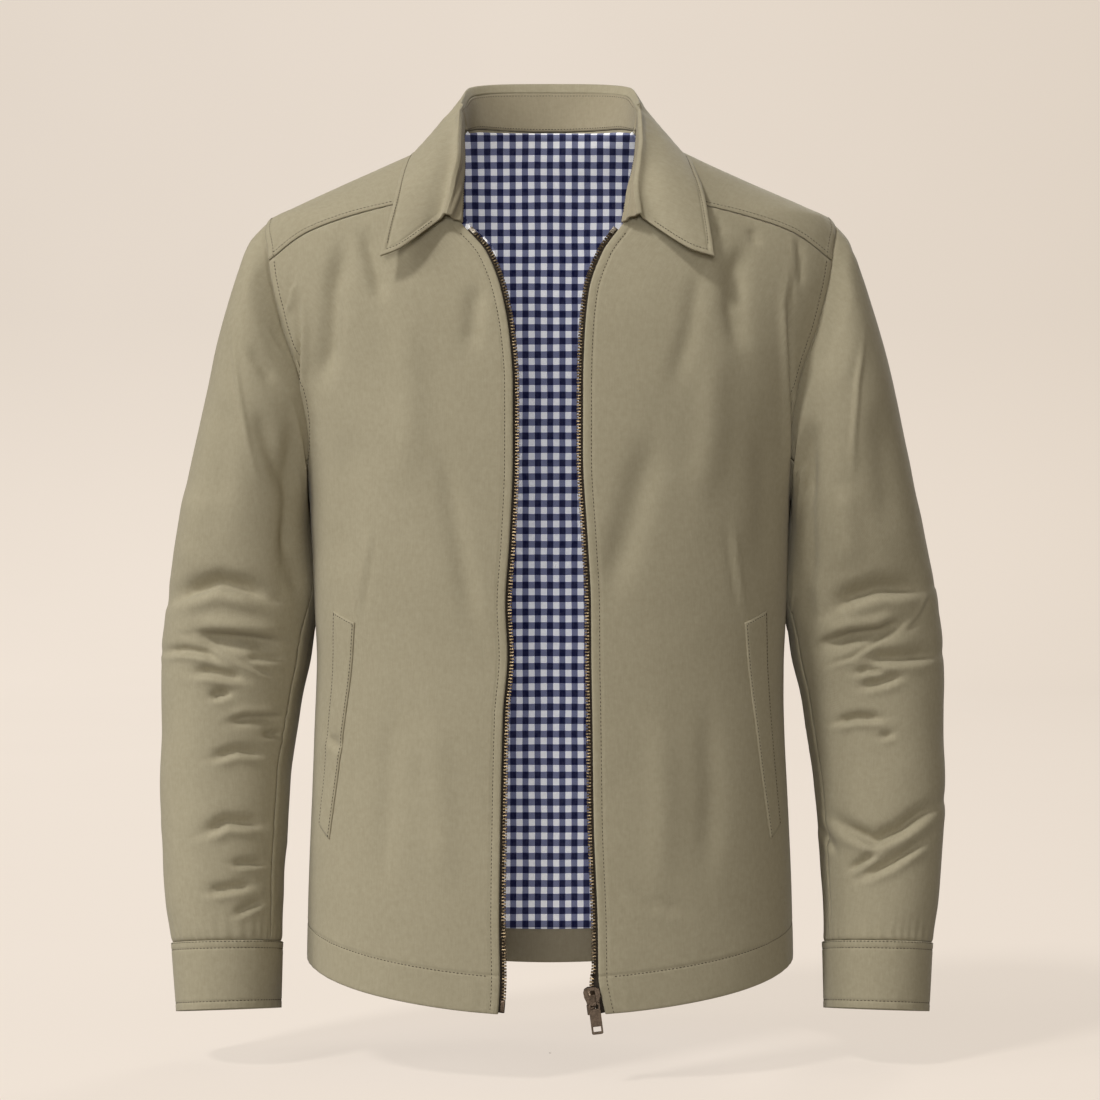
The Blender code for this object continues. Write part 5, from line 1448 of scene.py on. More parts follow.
# ---- collar -------------------------------------------------------------------------------
@dataclass
class Collar:
    """Stand and fall of the shirt collar."""

    roll: float = 0.0066
    drop: float = 0.0040
    crown: float = 0.0030
    stitch: float = 0.0042
    stitch_groove: float = 0.00050
    rim_lift: float = 0.0003
    ripple: float = 0.0014
    bulge: float = 0.0065
    keys: tuple[float, ...] = (0.0, 0.16, 0.32, 0.55, 0.78, 1.0)
    rounding: tuple[float, ...] = (-0.055, -0.037, -0.018, 0.0, 0.018, 0.037, 0.055)
    rounded: tuple[float, ...] = (0.0, 0.3, 1.0, 1.0, 1.0, 1.0)

    def station(self, u: Array) -> tuple[Array, Array]:
        """Side and station for u, from the right front end round the back to the left one."""
        count = np.minimum(u, 1 - u) * COLLAR_COLUMNS
        sewn = NECK_ROWS + ARM_CELLS_YOKE
        station = np.interp(count, (0, NECK_ROWS, sewn, COLLAR_COLUMNS / 2),
                            (0.0, YOKE_NECK, 0.5, 1.0))
        return np.where(u <= 0.5, RIGHT, LEFT), station

    def seam(self, u: Array) -> Array:
        """Points of the neckline."""
        return torso(*neckline(*self.station(np.clip(u, 0.0, 1.0))))

    def fold(self, u: Array) -> Array:
        """Points of the line that the collar folds over at."""
        side, station = self.station(u)
        return np.stack([side * FOLD.across(station) - FOLD.shift(station),
                         FOLD.back(station), FOLD.height(station)], -1)

    def frame(self, u: Array) -> tuple[Array, Array, Array]:
        """Seam point, the stand's upward direction and its way to the neck."""
        seam = self.seam(u)
        step = 0.25 / COLLAR_COLUMNS
        along = unit(self.seam(u + step) - self.seam(u - step))
        rise = self.fold(u) - seam
        rise = unit(rise - along * dot(rise, along))
        return seam, rise, unit(np.cross(along, rise))

    def edge(self, u: Array) -> Array:
        """Points of the fall's outer edge."""
        side, station = self.station(u)
        height = LEAF_EDGE.height(station)
        across = side * LEAF_EDGE.across(station) - LEAF_EDGE.shift(station)
        front, back = (torso_angle(across, height, behind) for behind in (False, True))
        angle = mix(front, back, ease((station - 0.42) / 0.16))
        angle = np.where(station > 0.999, PI, angle)
        return torso(angle, height) + torso_normal(angle, height) * LEAF_EDGE.lift(station)[:, None]

    def out(self, u: Array) -> Array:
        """Level direction away from the neck."""
        return unit(-self.frame(u)[2] * (1, 1, 0))

    def stand(self, u: Array, v: Array) -> Array:
        """Neck face of the stand."""
        seam, rise, inward = self.frame(u)
        foot = seam + rise * COLLAR_GAP + inward * COLLAR_CLOTH
        share = FOLD.stand_share(self.station(u)[1]) * v
        return mix(foot, self.fold(u), share[:, None])

    def leaf(self, u: Array, v: Array) -> Array:
        """Upper face of the fall, from the stand's top over the fold to the outer edge."""
        spread = np.mean([self.guides(np.clip(u + shift, 0, 1)) for shift in self.rounding], 0)
        beside = bell(self.station(u)[1] - 0.5, 0.20)
        share = np.array(self.rounded)[:, None, None] * beside[None, :, None]
        return self.through(mix(self.guides(u), spread, share), v)

    def guides(self, u: Array) -> Array:
        """Places that each column of the fall runs through, one for each key."""
        fold, out = self.fold(u), self.out(u)
        seam = self.stand(u, np.ones(len(u))) + self.frame(u)[1] * COLLAR_GAP
        over = fold + out * self.roll - np.array([0, 0, self.drop])
        run = self.edge(u) - over
        along = self.fold(np.minimum(u + 0.01, 1)) - self.fold(np.maximum(u - 0.01, 0))
        bow = unit(np.cross(along, run)) * self.crown
        end = unit(along) * np.where(u < 0.5, -1.0, 1.0)[:, None]
        near = ease(1 - np.minimum(u, 1 - u) / 0.05)[:, None] * self.bulge
        return np.stack([seam, fold + out * (self.roll * 0.35), over,
                         over + run * 0.34 + bow * 0.9 + end * near * 0.9,
                         over + run * 0.68 + bow * 0.8 + end * near, over + run])

    def through(self, places: Array, v: Array) -> Array:
        """A curve that doesn't overshoot through each column of places, read at v.

        Args:
            places: places by key, column and axis.
            v: the share wanted in each column.

        Returns:
            One point a column.
        """
        keys = np.array(self.keys)
        slopes = calm_slopes(np.diff(places, axis=0) / np.diff(keys)[:, None, None])
        i = np.searchsorted(keys[1:-1], v, side="left")
        column = np.arange(len(v))
        span = (keys[i + 1] - keys[i])[:, None]
        t = np.clip((v - keys[i])[:, None] / span, 0.0, 1.0)
        return cubic(*((of[i, column], of[i + 1, column]) for of in (places, slopes)), span, t)

    def leaf_place(self, u: Array, v: Array, depth: float = 0.0) -> Array:
        """Points of the fall, `depth` under its upper face."""
        step = 0.01
        points = self.leaf(u, v)
        along = self.leaf(np.minimum(u + step, 1), v) - self.leaf(np.maximum(u - step, 0), v)
        down = self.leaf(u, np.minimum(v + step, 1)) - self.leaf(u, np.maximum(v - step, 0))
        normal = unit(np.cross(along, down))
        outer = ease((v - 0.3) / 0.2)
        rise = 0.0011 * drift(points, 0.045, 21) * outer
        rim = self.rim(points)
        rise += -self.stitch_groove * bell(rim - self.stitch, 0.0010) * outer
        rise += self.rim_lift * bell(rim - 0.0016, 0.0016) * outer
        ripple = self.ripple * outer * np.sin((points[:, 2] + points[:, 0] * 0.6) / 0.012)
        rise += ripple * bell(points[:, 0] - 0.092, 0.022) * ease((0.02 - points[:, 1]) / 0.03)
        return points + normal * (rise - depth)[:, None]

    def rim(self, points: Array) -> Array:
        """Distance of points from the fall's outer and front edges."""
        if not hasattr(self, "rim_line"):
            u = np.linspace(0, 1, 150)
            down = np.linspace(0.3, 1, 12)
            self.rim_line = np.concatenate([
                self.leaf(np.zeros_like(down), down), self.leaf(u, np.ones_like(u)),
                self.leaf(np.ones_like(down), down[::-1])])
        return near_line(self.rim_line, points)[0]

    def stand_place(self, u: Array, v: Array, depth: float = 0.0) -> Array:
        """Points of the stand, `depth` outside its neck face."""
        points = self.stand(u, v)
        inward = self.frame(u)[2]
        rise = 0.0007 * drift(points, 0.030, 31)
        front = ease((0.16 - np.minimum(u, 1 - u)) / 0.12)
        rise += front * 0.0011 * np.sin(v * 9 + u * 60) * ease(v * (1 - v) * 5)
        rise -= 0.0003 * bell(v - 0.06, 0.02) + 0.0003 * bell(v - 0.93, 0.02)
        return points + inward * (rise - depth)[:, None]

    def build(self) -> None:
        """Make both parts and their stitching."""
        columns = spaced((0, 0.016, 12), (0.016, 0.984, 196), (0.984, 1, 12))
        ClothPiece("collar_stand_cloth", "collar_stand",
                   [Patch(columns, spaced((0, 1, 20)), self.stand_place)],
                   Cut(0.528, 0.036, 0.0099, "folded", "shell_yoke"), Finish.INSIDE,
                   COLLAR_CLOTH).build()
        down = spaced((0, 0.4, 16), (0.4, 0.9, 18), (0.9, 1, 12))
        ClothPiece("collar_fall_cloth", "collar_fall", [Patch(columns, down, self.leaf_place)],
                   Cut(0.596, 0.071, 0.0335, "folded", "collar_stand_cloth"),
                   thickness=COLLAR_CLOTH).build()
        rows = Stitching("stitches_collar", pitch=0.0026, length=0.0019)
        u, v = path_inset(self.leaf_place, "v1", self.stitch, 0.018, 0.982, 400)
        rows.add(self.leaf_place, u, v)
        for edge, v_end in (("u0", v[0]), ("u1", v[-1])):
            rows.add(self.leaf_place, *path_inset(self.leaf_place, edge, self.stitch, 0.42, v_end))
        for start, end, count, height in ((0.02, 0.98, 400, 0.045), (0.25, 0.75, 300, 0.93)):
            u = np.linspace(start, end, count)
            rows.add(self.stand_place, u, np.full_like(u, height))
        rows.build()


# ---- zip ----------------------------------------------------------------------------------
@dataclass
class Zip:
    """Tapes, teeth, stops, pin, slider, retainer box and pull tab."""

    cloth: BodyCloth
    tape_depth: float = 0.0020
    tape_cloth: float = 0.0008
    tape_lower: float = 0.0045
    tape_under: float = 0.0095
    tape_out: float = 0.0034
    chain_in: float = 0.0016
    chain_out: float = 0.0047
    chain_depths: tuple[float, float] = (0.0010, 0.0036)
    tooth_pitch: float = 0.0025
    tooth_tall: float = 0.00125
    tooth_head: tuple[float, float, float] = (0.0011, 0.0017, 0.62)
    tooth_round: float = 0.00022
    stop_length: float = 0.0045
    pin_length: float = 0.0110
    shy: float = 0.0029
    shy_heights: tuple[float, float] = (-0.630, -0.650)
    slider_top: float = -0.6470

    def strip(self, side: int, out: Array, height: Array, depth: float) -> Array:
        """Points beside a front edge.

        Args:
            side: RIGHT or LEFT.
            out: distance past the edge, in metres; negative is under the front.
            height: heights on the edge.
            depth: how far behind the front's outer face.

        Returns:
            One point a row.
        """
        shares = np.linspace(NECK_ROWS / PANEL_ROWS, 1, 400)
        heights = front_panel(side, 1.0, shares)[1]
        v = np.interp(-height, -heights, shares)
        ones = np.ones(len(v))
        panel = self.cloth.front[side]
        edge, beside = panel.place(ones, v, depth), panel.place(ones - 0.03, v, depth)
        inward = edge - beside
        ahead, behind = np.minimum(v + 0.004, 1), v - 0.004
        down = unit(panel.place(ones, ahead, depth) - panel.place(ones, behind, depth))
        inward = unit(inward - down * dot(inward, down))
        if side == LEFT:
            shy = self.shy * ease((self.shy_heights[0] - height)
                                  / (self.shy_heights[0] - self.shy_heights[1]))
            out = out + np.where(out > 0, shy, 0.0)
        return edge + inward * out[:, None]

    def build(self) -> None:
        """Make every piece of the zip."""
        top = EDGE_TOP - self.tape_lower
        for side, name in SIDES.items():
            foot = float(front_panel(side, 1.0, 1.0)[1]) + 0.001

            def tape(u: Array, v: Array, depth: float, side: int = side,
                     foot: float = foot) -> Array:
                out = mix(-self.tape_under, self.tape_out, u)
                return self.strip(side, out, mix(top, foot, v), depth + self.tape_depth)

            ClothPiece(f"zip_tape_{name}_cloth", f"zip_tape_{name}",
                       [Patch(spaced((0, 1, 5)), spaced((0, 1, 150)), tape)],
                       Cut(0.013, 0.618, 0.0079, "laid", f"shell_front_{name}"), Finish.TAPE,
                       self.tape_cloth).build()
            low = foot - 0.001 + self.pin_length if side == RIGHT else self.slider_top + 0.0012
            self.teeth(side, top - self.stop_length - 0.0006, low)
            self.bar(f"top_stop_{name}_metal", side, top, top - self.stop_length,
                     (self.chain_in, self.chain_out + 0.0003), self.chain_depths,
                     Finish.BRIGHT, f"top_stop_{name}")
        foot = float(front_panel(RIGHT, 1.0, 1.0)[1])
        self.bar("insertion_pin_metal", RIGHT, foot + self.pin_length - 0.0003, foot + 0.001,
                 (self.chain_in - 0.0006, self.chain_out), (0.0009, 0.0036), Finish.CAST,
                 "insertion_pin")
        for node, body in (("slider", BODY), ("retainer_box", BODY), ("pull_tab", "pull")):
            self.cast(node, body)

    def teeth(self, side: int, top: float, low: float) -> None:
        """Make one row of teeth, each clamped round the tape's edge.

        Args:
            side: RIGHT or LEFT.
            top: height of the first tooth.
            low: height of the last.
        """
        heights = np.linspace(top, low, 900)
        middle = (self.chain_in + self.chain_out) / 2
        deep = sum(self.chain_depths) / 2

        def spots(height: Array, past: float = 0.0) -> Array:
            return self.strip(side, np.full(len(height), middle + past), height, deep)

        walked = walk(spots(heights))
        at = np.interp(np.arange(0.0006, walked[-1] - 0.0004, self.tooth_pitch), walked, heights)
        centre = spots(at)
        along = unit(spots(at - 0.001) - spots(at + 0.001))
        inward = unit(spots(at, 0.001) - spots(at, -0.001))
        inward = unit(inward - along * dot(inward, along))
        out = np.cross(along, inward) * side
        bm = bmesh.new()
        wide, thick = self.chain_out - self.chain_in, self.chain_depths[1] - self.chain_depths[0]
        head_wide, head_tall, head_thick = self.tooth_head
        for reach, tall, share, shift in ((wide, self.tooth_tall, 1.0, 0.0),
                                          (head_wide, head_tall, head_thick, wide / 2 - 0.0003)):
            turns = np.stack([inward * reach, along * tall, out * thick * share], 2)
            repeat(bm, turns, centre + inward * shift,
                   lambda part, turn: bmesh.ops.create_cube(part, size=1, matrix=turn),
                   lambda part: bmesh.ops.bevel(part, geom=part.edges[:],
                                                offset=self.tooth_round, segments=1,
                                                profile=0.5, affect="EDGES", material=-1))
        finished(f"zip_teeth_{SIDES[side]}", bm, Finish.TEETH, f"zip_chain_{SIDES[side]}",
                 smooth=False)

    def bar(self, name: str, side: int, top: float, low: float, outs: tuple[float, float],
            depths: tuple[float, float], finish: Finish, node: str) -> None:
        """Make a rounded bar along a front edge.

        Args:
            name: the piece's name.
            side: RIGHT or LEFT.
            top: height of its top.
            low: height of its foot.
            outs: where it lies past the edge.
            depths: where it lies behind the front's outer face.
            finish: its finish.
            node: the CAD node that it stands for.
        """
        bm = bmesh.new()
        bmesh.ops.create_cube(bm, size=1)
        bmesh.ops.subdivide_edges(bm, edges=bm.edges[:], cuts=5, use_grid_fill=True)
        share = np.array([vertex.co for vertex in bm.verts]) + 0.5
        out, height = mix(*outs, share[:, 0]), mix(low, top, share[:, 2])
        near, far = (self.strip(side, out, height, depth) for depth in depths)
        for vertex, place in zip(bm.verts, mix(near, far, share[:, 1:2])):
            vertex.co = place
        round_edges(finished(name, bm, finish, node), 0.0005, 40)

    def cast(self, node: str, body: str) -> None:
        """Make a cast metal piece from its CAD solid, with its edges rounded over.

        Args:
            node: the CAD node.
            body: the CAD body that it rides on.
        """
        bm = bmesh.new()
        bm.from_mesh(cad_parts[node].data)
        bmesh.ops.remove_doubles(bm, verts=bm.verts, dist=0.00001)
        flat = [edge for edge in bm.edges if len(edge.link_faces) == 2
                and edge.calc_face_angle(0) < 0.01]
        bmesh.ops.dissolve_limit(bm, angle_limit=0.01, verts=bm.verts, edges=flat)
        piece = finished(f"{node}_metal", bm, Finish.CAST, node, body=body, smooth=False)
        round_edges(piece, 0.00022, 35)


@dataclass
class Pockets:
    """Slanted welts on the fronts, with their edge stitching."""

    cloth: BodyCloth
    lift: float = 0.0011
    wall: float = 0.0012
    sunk: float = 0.0006
    edge_round: float = 0.0009
    top: tuple[float, float, float, float] = (0.330, 0.632, 0.4625, 0.646)
    low: tuple[float, float, float, float] = (0.255, 0.830, 0.346, 0.840)

    def build(self) -> None:
        """Make both welts and their stitching."""
        rows = Stitching("stitches_pockets", pitch=0.0028, length=0.0018)
        for side, name in SIDES.items():
            panel = self.cloth.front[side]

            def place(u: Array, v: Array, depth: float, panel: Panel = panel) -> Array:
                corner = [mix(a, b, v) for a, b in zip(self.top, self.low)]
                across, down = mix(corner[0], corner[2], u), mix(corner[1], corner[3], u)
                rim = np.minimum(np.minimum(u, 1 - u) * 0.020, np.minimum(v, 1 - v) * 0.165)
                inward = torso_normal(*panel.patch(across, down)) * self.edge_round
                points = panel.place(across, down, depth - self.lift - self.wall + self.sunk)
                return points - inward * bell(rim, 0.0014)[:, None]

            ClothPiece(f"pocket_welt_{name}_cloth", f"pocket_welt_{name}",
                       [Patch(spaced((0, 0.15, 5), (0.15, 0.85, 8), (0.85, 1, 5)),
                              spaced((0, 0.04, 6), (0.04, 0.96, 60), (0.96, 1, 6)), place)],
                       Cut(0.027, 0.173, 0.0038, "laid", f"shell_front_{name}"),
                       thickness=self.wall).build()
            for edge, inset, start, end in (("u1", 0.0016, 0.01, 0.995),
                                            ("u0", 0.0016, 0.01, 0.995),
                                            ("v0", 0.0020, 0.03, 0.97)):
                rows.add(place, *path_inset(place, edge, inset, start, end))
        rows.build()


# ---- finishes -----------------------------------------------------------------------------
class Nodes:
    """A node tree, wired with short calls."""

    def __init__(self, tree: bpy.types.NodeTree) -> None:
        """Keep the tree."""
        self.tree = tree

    def add(self, kind: str, *inputs: object, **settings: object) -> bpy.types.Node:
        """Add a node.

        Args:
            kind: Blender's node type.
            inputs: a socket or value for each input in order, None to skip one.
            settings: properties of the node, or "in_Name" for an input by name.

        Returns:
            The node.
        """
        node = self.tree.nodes.new(kind)
        for name, value in settings.items():
            if not name.startswith("in_"):
                setattr(node, name, value)
        named = [(node.inputs[name[3:].replace("_", " ")], value)
                 for name, value in settings.items() if name.startswith("in_")]
        for socket, value in [*zip(node.inputs, inputs), *named]:
            self.put(socket, value)
        return node

    def put(self, socket: Socket, value: object) -> None:
        """Wire a socket, or set its value; None leaves it."""
        if isinstance(value, Socket):
            self.tree.links.new(value, socket)
        elif value is not None:
            socket.default_value = value

    def feed(self, node: bpy.types.Node, **inputs: object) -> None:
        """Wire or set a node's inputs by name, with _ for a space."""
        for name, value in inputs.items():
            self.put(node.inputs[name.replace("_", " ")], value)

    def math(self, operation: str, *inputs: object) -> Socket:
        """A Math node's result."""
        return self.add("ShaderNodeMath", *inputs, operation=operation).outputs[0]

    def blend(self, share: object, first: object, second: object,
              mode: str = "MIX") -> Socket:
        """A colour mixed from two."""
        node = self.add("ShaderNodeMix", data_type="RGBA", blend_type=mode)
        for index, value in ((0, share), (6, first), (7, second)):
            self.put(node.inputs[index], value)
        return node.outputs[2]

    def noise(self, place: Socket, scale: float, detail: float = 3.0,
              rough: float = 0.55) -> Socket:
        """Grey noise from 0 to 1."""
        node = self.add("ShaderNodeTexNoise", place, in_Scale=scale, in_Detail=detail,
                        in_Roughness=rough)
        return node.outputs["Fac"]

    def bump(self, height: Socket, strength: float, distance: float) -> Socket:
        """A normal from a height."""
        return self.add("ShaderNodeBump", in_Strength=strength, in_Distance=distance,
                        in_Height=height).outputs[0]


class Group:
    """A shared effect: a node group with named inputs and outputs."""

    def __init__(self, name: str, inputs: dict[str, object], outputs: dict[str, str]) -> None:
        """Make the empty group.

        Args:
            name: the group's name.
            inputs: the default value of each input; three or four numbers make a vector or
                a colour.
            outputs: the socket type of each output.
        """
        self.tree = bpy.data.node_groups.new(name, "ShaderNodeTree")
        kinds = {1: "NodeSocketFloat", 3: "NodeSocketVector", 4: "NodeSocketColor"}
        for label, value in inputs.items():
            size = len(value) if isinstance(value, tuple) else 1
            socket = self.tree.interface.new_socket(label, in_out="INPUT", socket_type=kinds[size])
            socket.default_value = value
        for label, kind in outputs.items():
            self.tree.interface.new_socket(label, in_out="OUTPUT", socket_type=kind)
        self.nodes = Nodes(self.tree)
        self.given = self.tree.nodes.new("NodeGroupInput").outputs
        self.result = self.tree.nodes.new("NodeGroupOutput").inputs

    def give(self, label: str, socket: Socket) -> None:
        """Wire a result to an output."""
        self.tree.links.new(socket, self.result[label])

    def use(self, nodes: Nodes, **inputs: object) -> bpy.types.NodeOutputs:
        """Place the group in a material.

        Args:
            nodes: the material's nodes.
            inputs: a socket or value for each input, with _ for a space.

        Returns:
            The group's outputs.
        """
        node = nodes.add("ShaderNodeGroup", node_tree=self.tree)
        nodes.feed(node, **inputs)
        return node.outputs


def weave_group() -> Group:
    """Twill weave: fine slanting ribs crossed by the weft, on the cut cloth in metres."""
    group = Group("twill_weave", {"Cut": (0.0, 0.0, 0.0), "Pitch": 0.0007},
                  {"Height": "NodeSocketFloat", "Thread": "NodeSocketFloat"})
    n = group.nodes
    parts = n.add("ShaderNodeSeparateXYZ", group.given["Cut"]).outputs
    turns = n.math("DIVIDE", 2 * PI, group.given["Pitch"])
    slant = n.math("ADD", parts[0], n.math("MULTIPLY", parts[1], 0.6))
    rib = n.math("SINE", n.math("MULTIPLY", slant, turns))
    weft = n.math("SINE", n.math("MULTIPLY", n.math("MULTIPLY", parts[1], turns), 1.7))
    both = n.math("ADD", n.math("MULTIPLY", rib, 0.35), n.math("MULTIPLY", weft, 0.15))
    group.give("Height", n.math("ADD", both, 0.5))
    slub = n.add("ShaderNodeMapping", group.given["Cut"], in_Scale=(900.0, 90.0, 1.0))
    group.give("Thread", n.noise(slub.outputs[0], 1.0, 2.0))
    return group


def mottle_group() -> Group:
    """Cloth colour that varies softly, as washed cotton does."""
    group = Group("washed_mottle", {"Place": (0.0, 0.0, 0.0), "Colour": (0.5, 0.5, 0.5, 1.0),
                                    "Deep": (0.4, 0.4, 0.4, 1.0), "Thread": 0.5, "Amount": 0.5},
                  {"Colour": "NodeSocketColor", "Rough": "NodeSocketFloat"})
    n = group.nodes
    broad = n.noise(group.given["Place"], 9.0, 4.0)
    fine = n.noise(group.given["Place"], 260.0, 3.0, 0.7)
    share = n.math("ADD", n.math("MULTIPLY", broad, 0.35), n.math("MULTIPLY", fine, 0.65))
    share = n.math("ADD", n.math("MULTIPLY", share, 0.7),
                   n.math("MULTIPLY", group.given["Thread"], 0.3))
    steep = n.add("ShaderNodeMapRange", share, 0.36, 0.64, 0.0, 1.0).outputs[0]
    group.give("Colour", n.blend(n.math("MULTIPLY", steep, group.given["Amount"]),
                                 group.given["Colour"], group.given["Deep"]))
    group.give("Rough", n.math("ADD", 0.80, n.math("MULTIPLY", fine, 0.14)))
    return group


def check_group() -> Group:
    """Woven two-colour check: bands of dyed warp cross bands of dyed weft."""
    group = Group("woven_check", {"Cut": (0.0, 0.0, 0.0), "Across": 0.0107, "Down": 0.0117,
                                  "Light": (0.8, 0.8, 0.8, 1.0), "Half": (0.15, 0.16, 0.35, 1.0),
                                  "Dark": (0.01, 0.01, 0.05, 1.0)},
                  {"Colour": "NodeSocketColor"})
    n = group.nodes
    parts = n.add("ShaderNodeSeparateXYZ", group.given["Cut"]).outputs
    bands = []
    for axis, size, shift in ((0, "Across", 0.502), (1, "Down", 0.838)):
        turn = n.math("ADD", n.math("DIVIDE", parts[axis], group.given[size]), shift)
        wave = n.math("ABSOLUTE", n.math("SUBTRACT", n.math("FRACT", turn), 0.5))
        bands.append(n.add("ShaderNodeMapRange", wave, 0.235, 0.265, 1.0, 0.0).outputs[0])
    thread = []
    for axis in (0, 1):
        turn = n.math("MULTIPLY", parts[axis], 2 * PI / 0.0009)
        thread.append(n.math("MULTIPLY", n.math("SINE", turn), 0.10))
    over = n.math("ADD", 0.5, n.math("ADD", thread[0], thread[1]))
    dyed = n.math("ADD", n.math("MULTIPLY", bands[0], over),
                  n.math("MULTIPLY", bands[1], n.math("SUBTRACT", 1.0, over)))
    half = n.blend(n.math("MINIMUM", n.math("MULTIPLY", dyed, 2.0), 1.0),
                   group.given["Light"], group.given["Half"])
    full = n.math("MAXIMUM", n.math("MULTIPLY_ADD", dyed, 2.0, -1.0), 0.0)
    group.give("Colour", n.blend(full, half, group.given["Dark"]))
    return group


def tarnish_group() -> Group:
    """Metal that is darker in patches and rubbed bright in others."""
    group = Group("tarnish", {"Place": (0.0, 0.0, 0.0), "Dark": (0.05, 0.04, 0.03, 1.0),
                              "Rubbed": (0.4, 0.3, 0.2, 1.0)},
                  {"Colour": "NodeSocketColor", "Rough": "NodeSocketFloat"})
    n = group.nodes
    patch = n.noise(group.given["Place"], 700.0, 4.0)
    share = n.add("ShaderNodeMapRange", patch, 0.38, 0.66, 0.0, 1.0).outputs[0]
    group.give("Colour", n.blend(share, group.given["Dark"], group.given["Rubbed"]))
    group.give("Rough", n.math("ADD", 0.24, n.math("MULTIPLY", patch, 0.26)))
    return group


def srgb(red: int, green: int, blue: int) -> tuple[float, float, float, float]:
    """A linear colour from 8-bit display values."""
    linear = [((c / 255 + 0.055) / 1.055) ** 2.4 if c > 10 else c / 255 / 12.92
              for c in (red, green, blue)]
    return (*linear, 1.0)


@dataclass(frozen=True)
class ClothFinish:
    """Cotton twill: two close colours, a weave and a soft sheen."""

    name: str
    light: tuple[int, int, int]
    deep: tuple[int, int, int]
    pitch: float = 0.0007
    bump: float = 0.35
    sheen: float = 0.10

    def make(self, groups: dict[str, Group]) -> bpy.types.Material:
        """Build the material.

        Args:
            groups: the shared effects by name.

        Returns:
            The material.
        """
        material, n, shader = new_material(self.name)
        cut = n.add("ShaderNodeUVMap", uv_map="cut").outputs[0]
        place = n.add("ShaderNodeTexCoord").outputs["Object"]
        weave = groups["weave"].use(n, Cut=cut, Pitch=self.pitch)
        colour = groups["mottle"].use(n, Place=place, Colour=srgb(*self.light),
                                      Deep=srgb(*self.deep), Thread=weave["Thread"], Amount=0.8)
        n.feed(shader, Base_Color=colour["Colour"], Roughness=colour["Rough"],
               Sheen_Weight=self.sheen, Sheen_Roughness=0.5, Specular_IOR_Level=0.25,
               Normal=n.bump(weave["Height"], self.bump, 0.00018))
        return material


@dataclass(frozen=True)
class CheckFinish:
    """Checked cotton lining, which glows in its own colours: painted light that stands in for the
    light inside the jacket.
    """

    name: str
    light: tuple[int, int, int] = (253, 253, 255)
    half: tuple[int, int, int] = (94, 100, 138)
    dark: tuple[int, int, int] = (4, 9, 54)
    wobble: float = 0.0011
    # How strongly the lining glows: painted light inside the jacket.
    glow: float = 0.18

    def make(self, groups: dict[str, Group]) -> bpy.types.Material:
        """Build the material, with the shared effects in groups."""
        material, n, shader = new_material(self.name)
        cut = n.add("ShaderNodeUVMap", uv_map="cut").outputs[0]
        place = n.add("ShaderNodeTexCoord").outputs["Object"]
        noise = n.add("ShaderNodeTexNoise", place, in_Scale=26.0, in_Detail=2.0)
        shift = n.add("ShaderNodeVectorMath", noise.outputs["Color"], (0.5, 0.5, 0.5),
                      operation="SUBTRACT").outputs[0]
        shift = n.add("ShaderNodeVectorMath", shift, operation="SCALE",
                      in_Scale=self.wobble).outputs[0]
        moved = n.add("ShaderNodeVectorMath", cut, shift, operation="ADD").outputs[0]
        check = groups["check"].use(n, Cut=moved, Light=srgb(*self.light), Half=srgb(*self.half),
                                    Dark=srgb(*self.dark))
        weave = groups["weave"].use(n, Cut=cut, Pitch=0.0006)
        soft = groups["mottle"].use(n, Place=place, Colour=check["Colour"], Thread=weave["Thread"],
                                    Deep=(0.45, 0.45, 0.55, 1.0), Amount=0.06)
        # The emission is painted light: the lining glows in its check colours as if lit inside.
        n.feed(shader, Base_Color=soft["Colour"], Roughness=soft["Rough"],
               Emission_Color=soft["Colour"], Emission_Strength=self.glow,
               Specular_IOR_Level=0.2, Normal=n.bump(weave["Height"], 0.25, 0.00015))
        return material


@dataclass(frozen=True)
class MetalFinish:
    """Dark bronze plating, rubbed brighter in places."""

    name: str
    dark: tuple[int, int, int]
    rubbed: tuple[int, int, int]

    def make(self, groups: dict[str, Group]) -> bpy.types.Material:
        """Build the material, with the shared effects in groups."""
        material, n, shader = new_material(self.name)
        place = n.add("ShaderNodeTexCoord").outputs["Object"]
        worn = groups["tarnish"].use(n, Place=place, Dark=srgb(*self.dark),
                                     Rubbed=srgb(*self.rubbed))
        n.feed(shader, Base_Color=worn["Colour"], Roughness=worn["Rough"], Metallic=1.0)
        return material


def new_material(name: str) -> tuple[bpy.types.Material, Nodes, bpy.types.Node]:
    """A new node material with its shader."""
    material = bpy.data.materials.new(name)
    material.use_nodes = True
    return material, Nodes(material.node_tree), material.node_tree.nodes["Principled BSDF"]


def make_materials() -> dict[Finish, bpy.types.Material]:
    """Build the shared effects and every finish.

    Returns:
        The material of each finish.
    """
    groups = {"weave": weave_group(), "mottle": mottle_group(), "check": check_group(),
              "tarnish": tarnish_group()}
    return {
        Finish.SHELL: ClothFinish("sage_twill", (170, 161, 136), (155, 146, 121)).make(groups),
        # The shell's twill made darker for the collar stand and hem facing: painted shade.
        Finish.INSIDE: ClothFinish("sage_twill_painted_shade", (160, 150, 126),
                                   (146, 136, 112)).make(groups),
        Finish.CHECK: CheckFinish("check_cotton").make(groups),
        Finish.TAPE: ClothFinish("tape_weave", (62, 54, 44), (46, 40, 32), pitch=0.0011,
                                 sheen=0.0).make(groups),
        Finish.TEETH: MetalFinish("dark_bronze", (66, 54, 42), (168, 148, 116)).make(groups),
        Finish.CAST: MetalFinish("cast_bronze", (80, 68, 57), (100, 86, 73)).make(groups),
        Finish.BRIGHT: MetalFinish("rubbed_bronze", (150, 138, 122), (236, 226, 208)).make(groups),
        # Thread far darker than the cloth: partly the thread's own darker olive, partly painted
        # shade of the stitch holes.
        Finish.THREAD: ClothFinish("thread_with_painted_shade", (64, 56, 38), (52, 45, 30),
                                   bump=0.0).make(groups),
    }


MATERIALS = make_materials()


